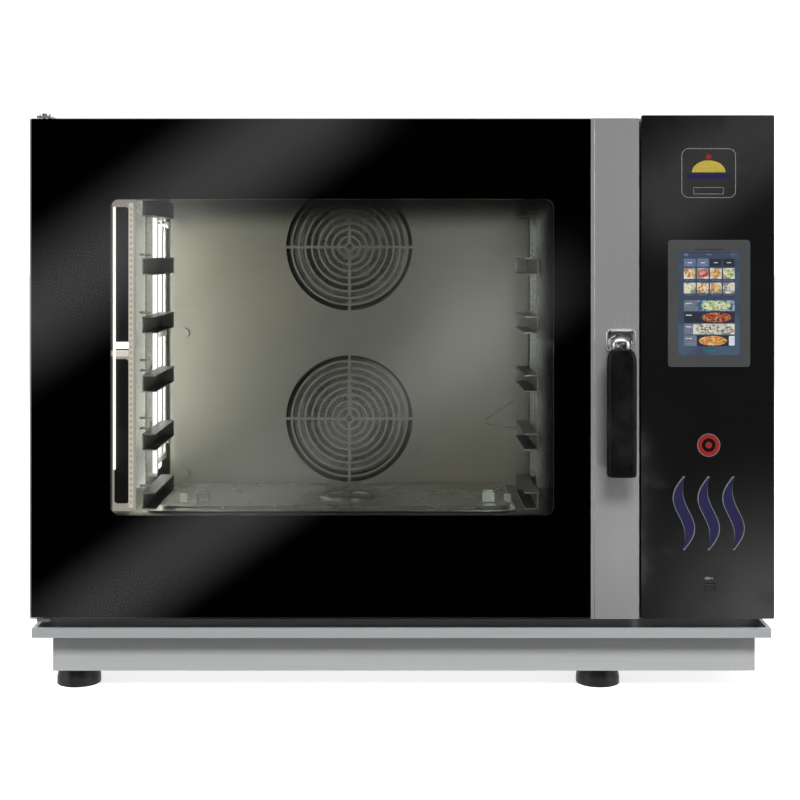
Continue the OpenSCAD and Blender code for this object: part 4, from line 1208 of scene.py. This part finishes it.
def studio():
    world = bpy.data.worlds.new("Studio")
    bpy.context.scene.world = world
    world.use_nodes = True
    tree = world.node_tree
    back = tree.nodes["Background"]
    path = tree.nodes.new("ShaderNodeLightPath")
    direction = tree.nodes.new("ShaderNodeSeparateXYZ")
    wire(tree, tree.nodes.new("ShaderNodeTexCoord").outputs["Generated"], direction.inputs[0])
    soft = remap(tree, direction.outputs["Z"], -0.5, 0.3, 0.09, 0.33)
    height = remap(tree, maths(tree, "ABSOLUTE", direction.outputs["Z"]), 0.3, 0.75, 0.0, 0.8)
    aside = remap(tree, maths(tree, "ABSOLUTE", direction.outputs["X"]), 0.45, 0.8, 0.0, 0.6)
    behind = remap(tree, direction.outputs["Y"], 0.1, 0.7, 0.0, 0.7)
    mirrored = plus(tree, maths(tree, "MAXIMUM", maths(tree, "MAXIMUM", height, aside), behind), 0.012)
    level = times(tree, path.outputs["Is Diffuse Ray"], soft)
    sharp = maths(tree, "SUBTRACT", 1.0, path.outputs["Is Diffuse Ray"])
    level = plus(tree, level, times(tree, sharp, mirrored))
    level = plus(tree, level, path.outputs["Is Camera Ray"])
    back.inputs["Color"].default_value = (1, 1, 1, 1)
    wire(tree, level, back.inputs["Strength"])
    area_light("overhead softbox", (0, -0.5, 2.9), (0, 0, 0.3), (3.0, 2.4), 22)
    area_light("front key", (0.35, -3.4, 2.6), (0, 0, 0.3), (1.2, 0.8), 134, seen=False)
    area_light("left softbox", (-3.0, -1.4, 1.2), (0, 0, 0.4), (1.2, 1.8), 14)
    area_light("right softbox", (3.0, -1.4, 1.2), (0, 0, 0.4), (1.2, 1.8), 14)
    area_light("rear fill", (0.6, 3.4, 1.8), (0, 0, 0.4), (2.2, 1.6), 45, seen=False)


def cavity_lights():
    low, high = liner_low, liner_high
    warm = (1.0, 0.94, 0.87)
    face = baffle_low[1]
    middle = (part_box("left_tray_supports")[0][2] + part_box("left_tray_supports")[1][2]) / 2
    area_light("cavity lamp left", (low[0] + 85 * MM, low[1] + 35 * MM, middle - 5 * MM), (0.0, face, middle),
               (0.04, 0.44), 0.13, (1.0, 0.985, 0.94))
    area_light("cavity lamp right", (high[0] - 75 * MM, low[1] + 30 * MM, middle), (-0.02, face, middle),
               (0.04, 0.4), 0.27, (1.0, 1.0, 0.96))
    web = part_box("left_tray_supports")[0][0]
    area_light("wall wash", (web - 4 * MM, 0.03, middle), (low[0], 0.03, middle), (0.12, 0.4), 1.1, warm)
    rack_x = WALL_X + 14 * MM
    area_light("rack lamp", (rack_x, low[1] + 4 * MM, middle), (rack_x, 0.0, middle), (0.034, 0.46), 0.1,
               warm)
    area_light("second rack lamp", (rack_x, -0.15, middle), (rack_x, 0.0, middle), (0.022, 0.4), 0.018,
               warm)
    fans = (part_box("upper_fan_wheel")[0][2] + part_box("lower_fan_wheel")[1][2]) / 2
    area_light("fan chamber lamp", (high[0] - 150 * MM, baffle_high[1] + 30 * MM, fans), (MIDDLE_X, 0.22, fans),
               (0.05, 0.3), 0.22)


def camera():
    data = bpy.data.cameras.new("Camera")
    data.lens = 65.4
    data.sensor_width = 36.0
    data.shift_y = -0.1875
    lens = bpy.data.objects.new("Camera", data)
    lens.location = EYE
    lens.rotation_euler = (math.pi / 2, 0, 0)
    bpy.context.scene.collection.objects.link(lens)
    bpy.context.scene.camera = lens


paper_floor()
studio()
cavity_lights()
glow_cards()
camera()
bpy.context.scene.view_settings.view_transform = "Standard"
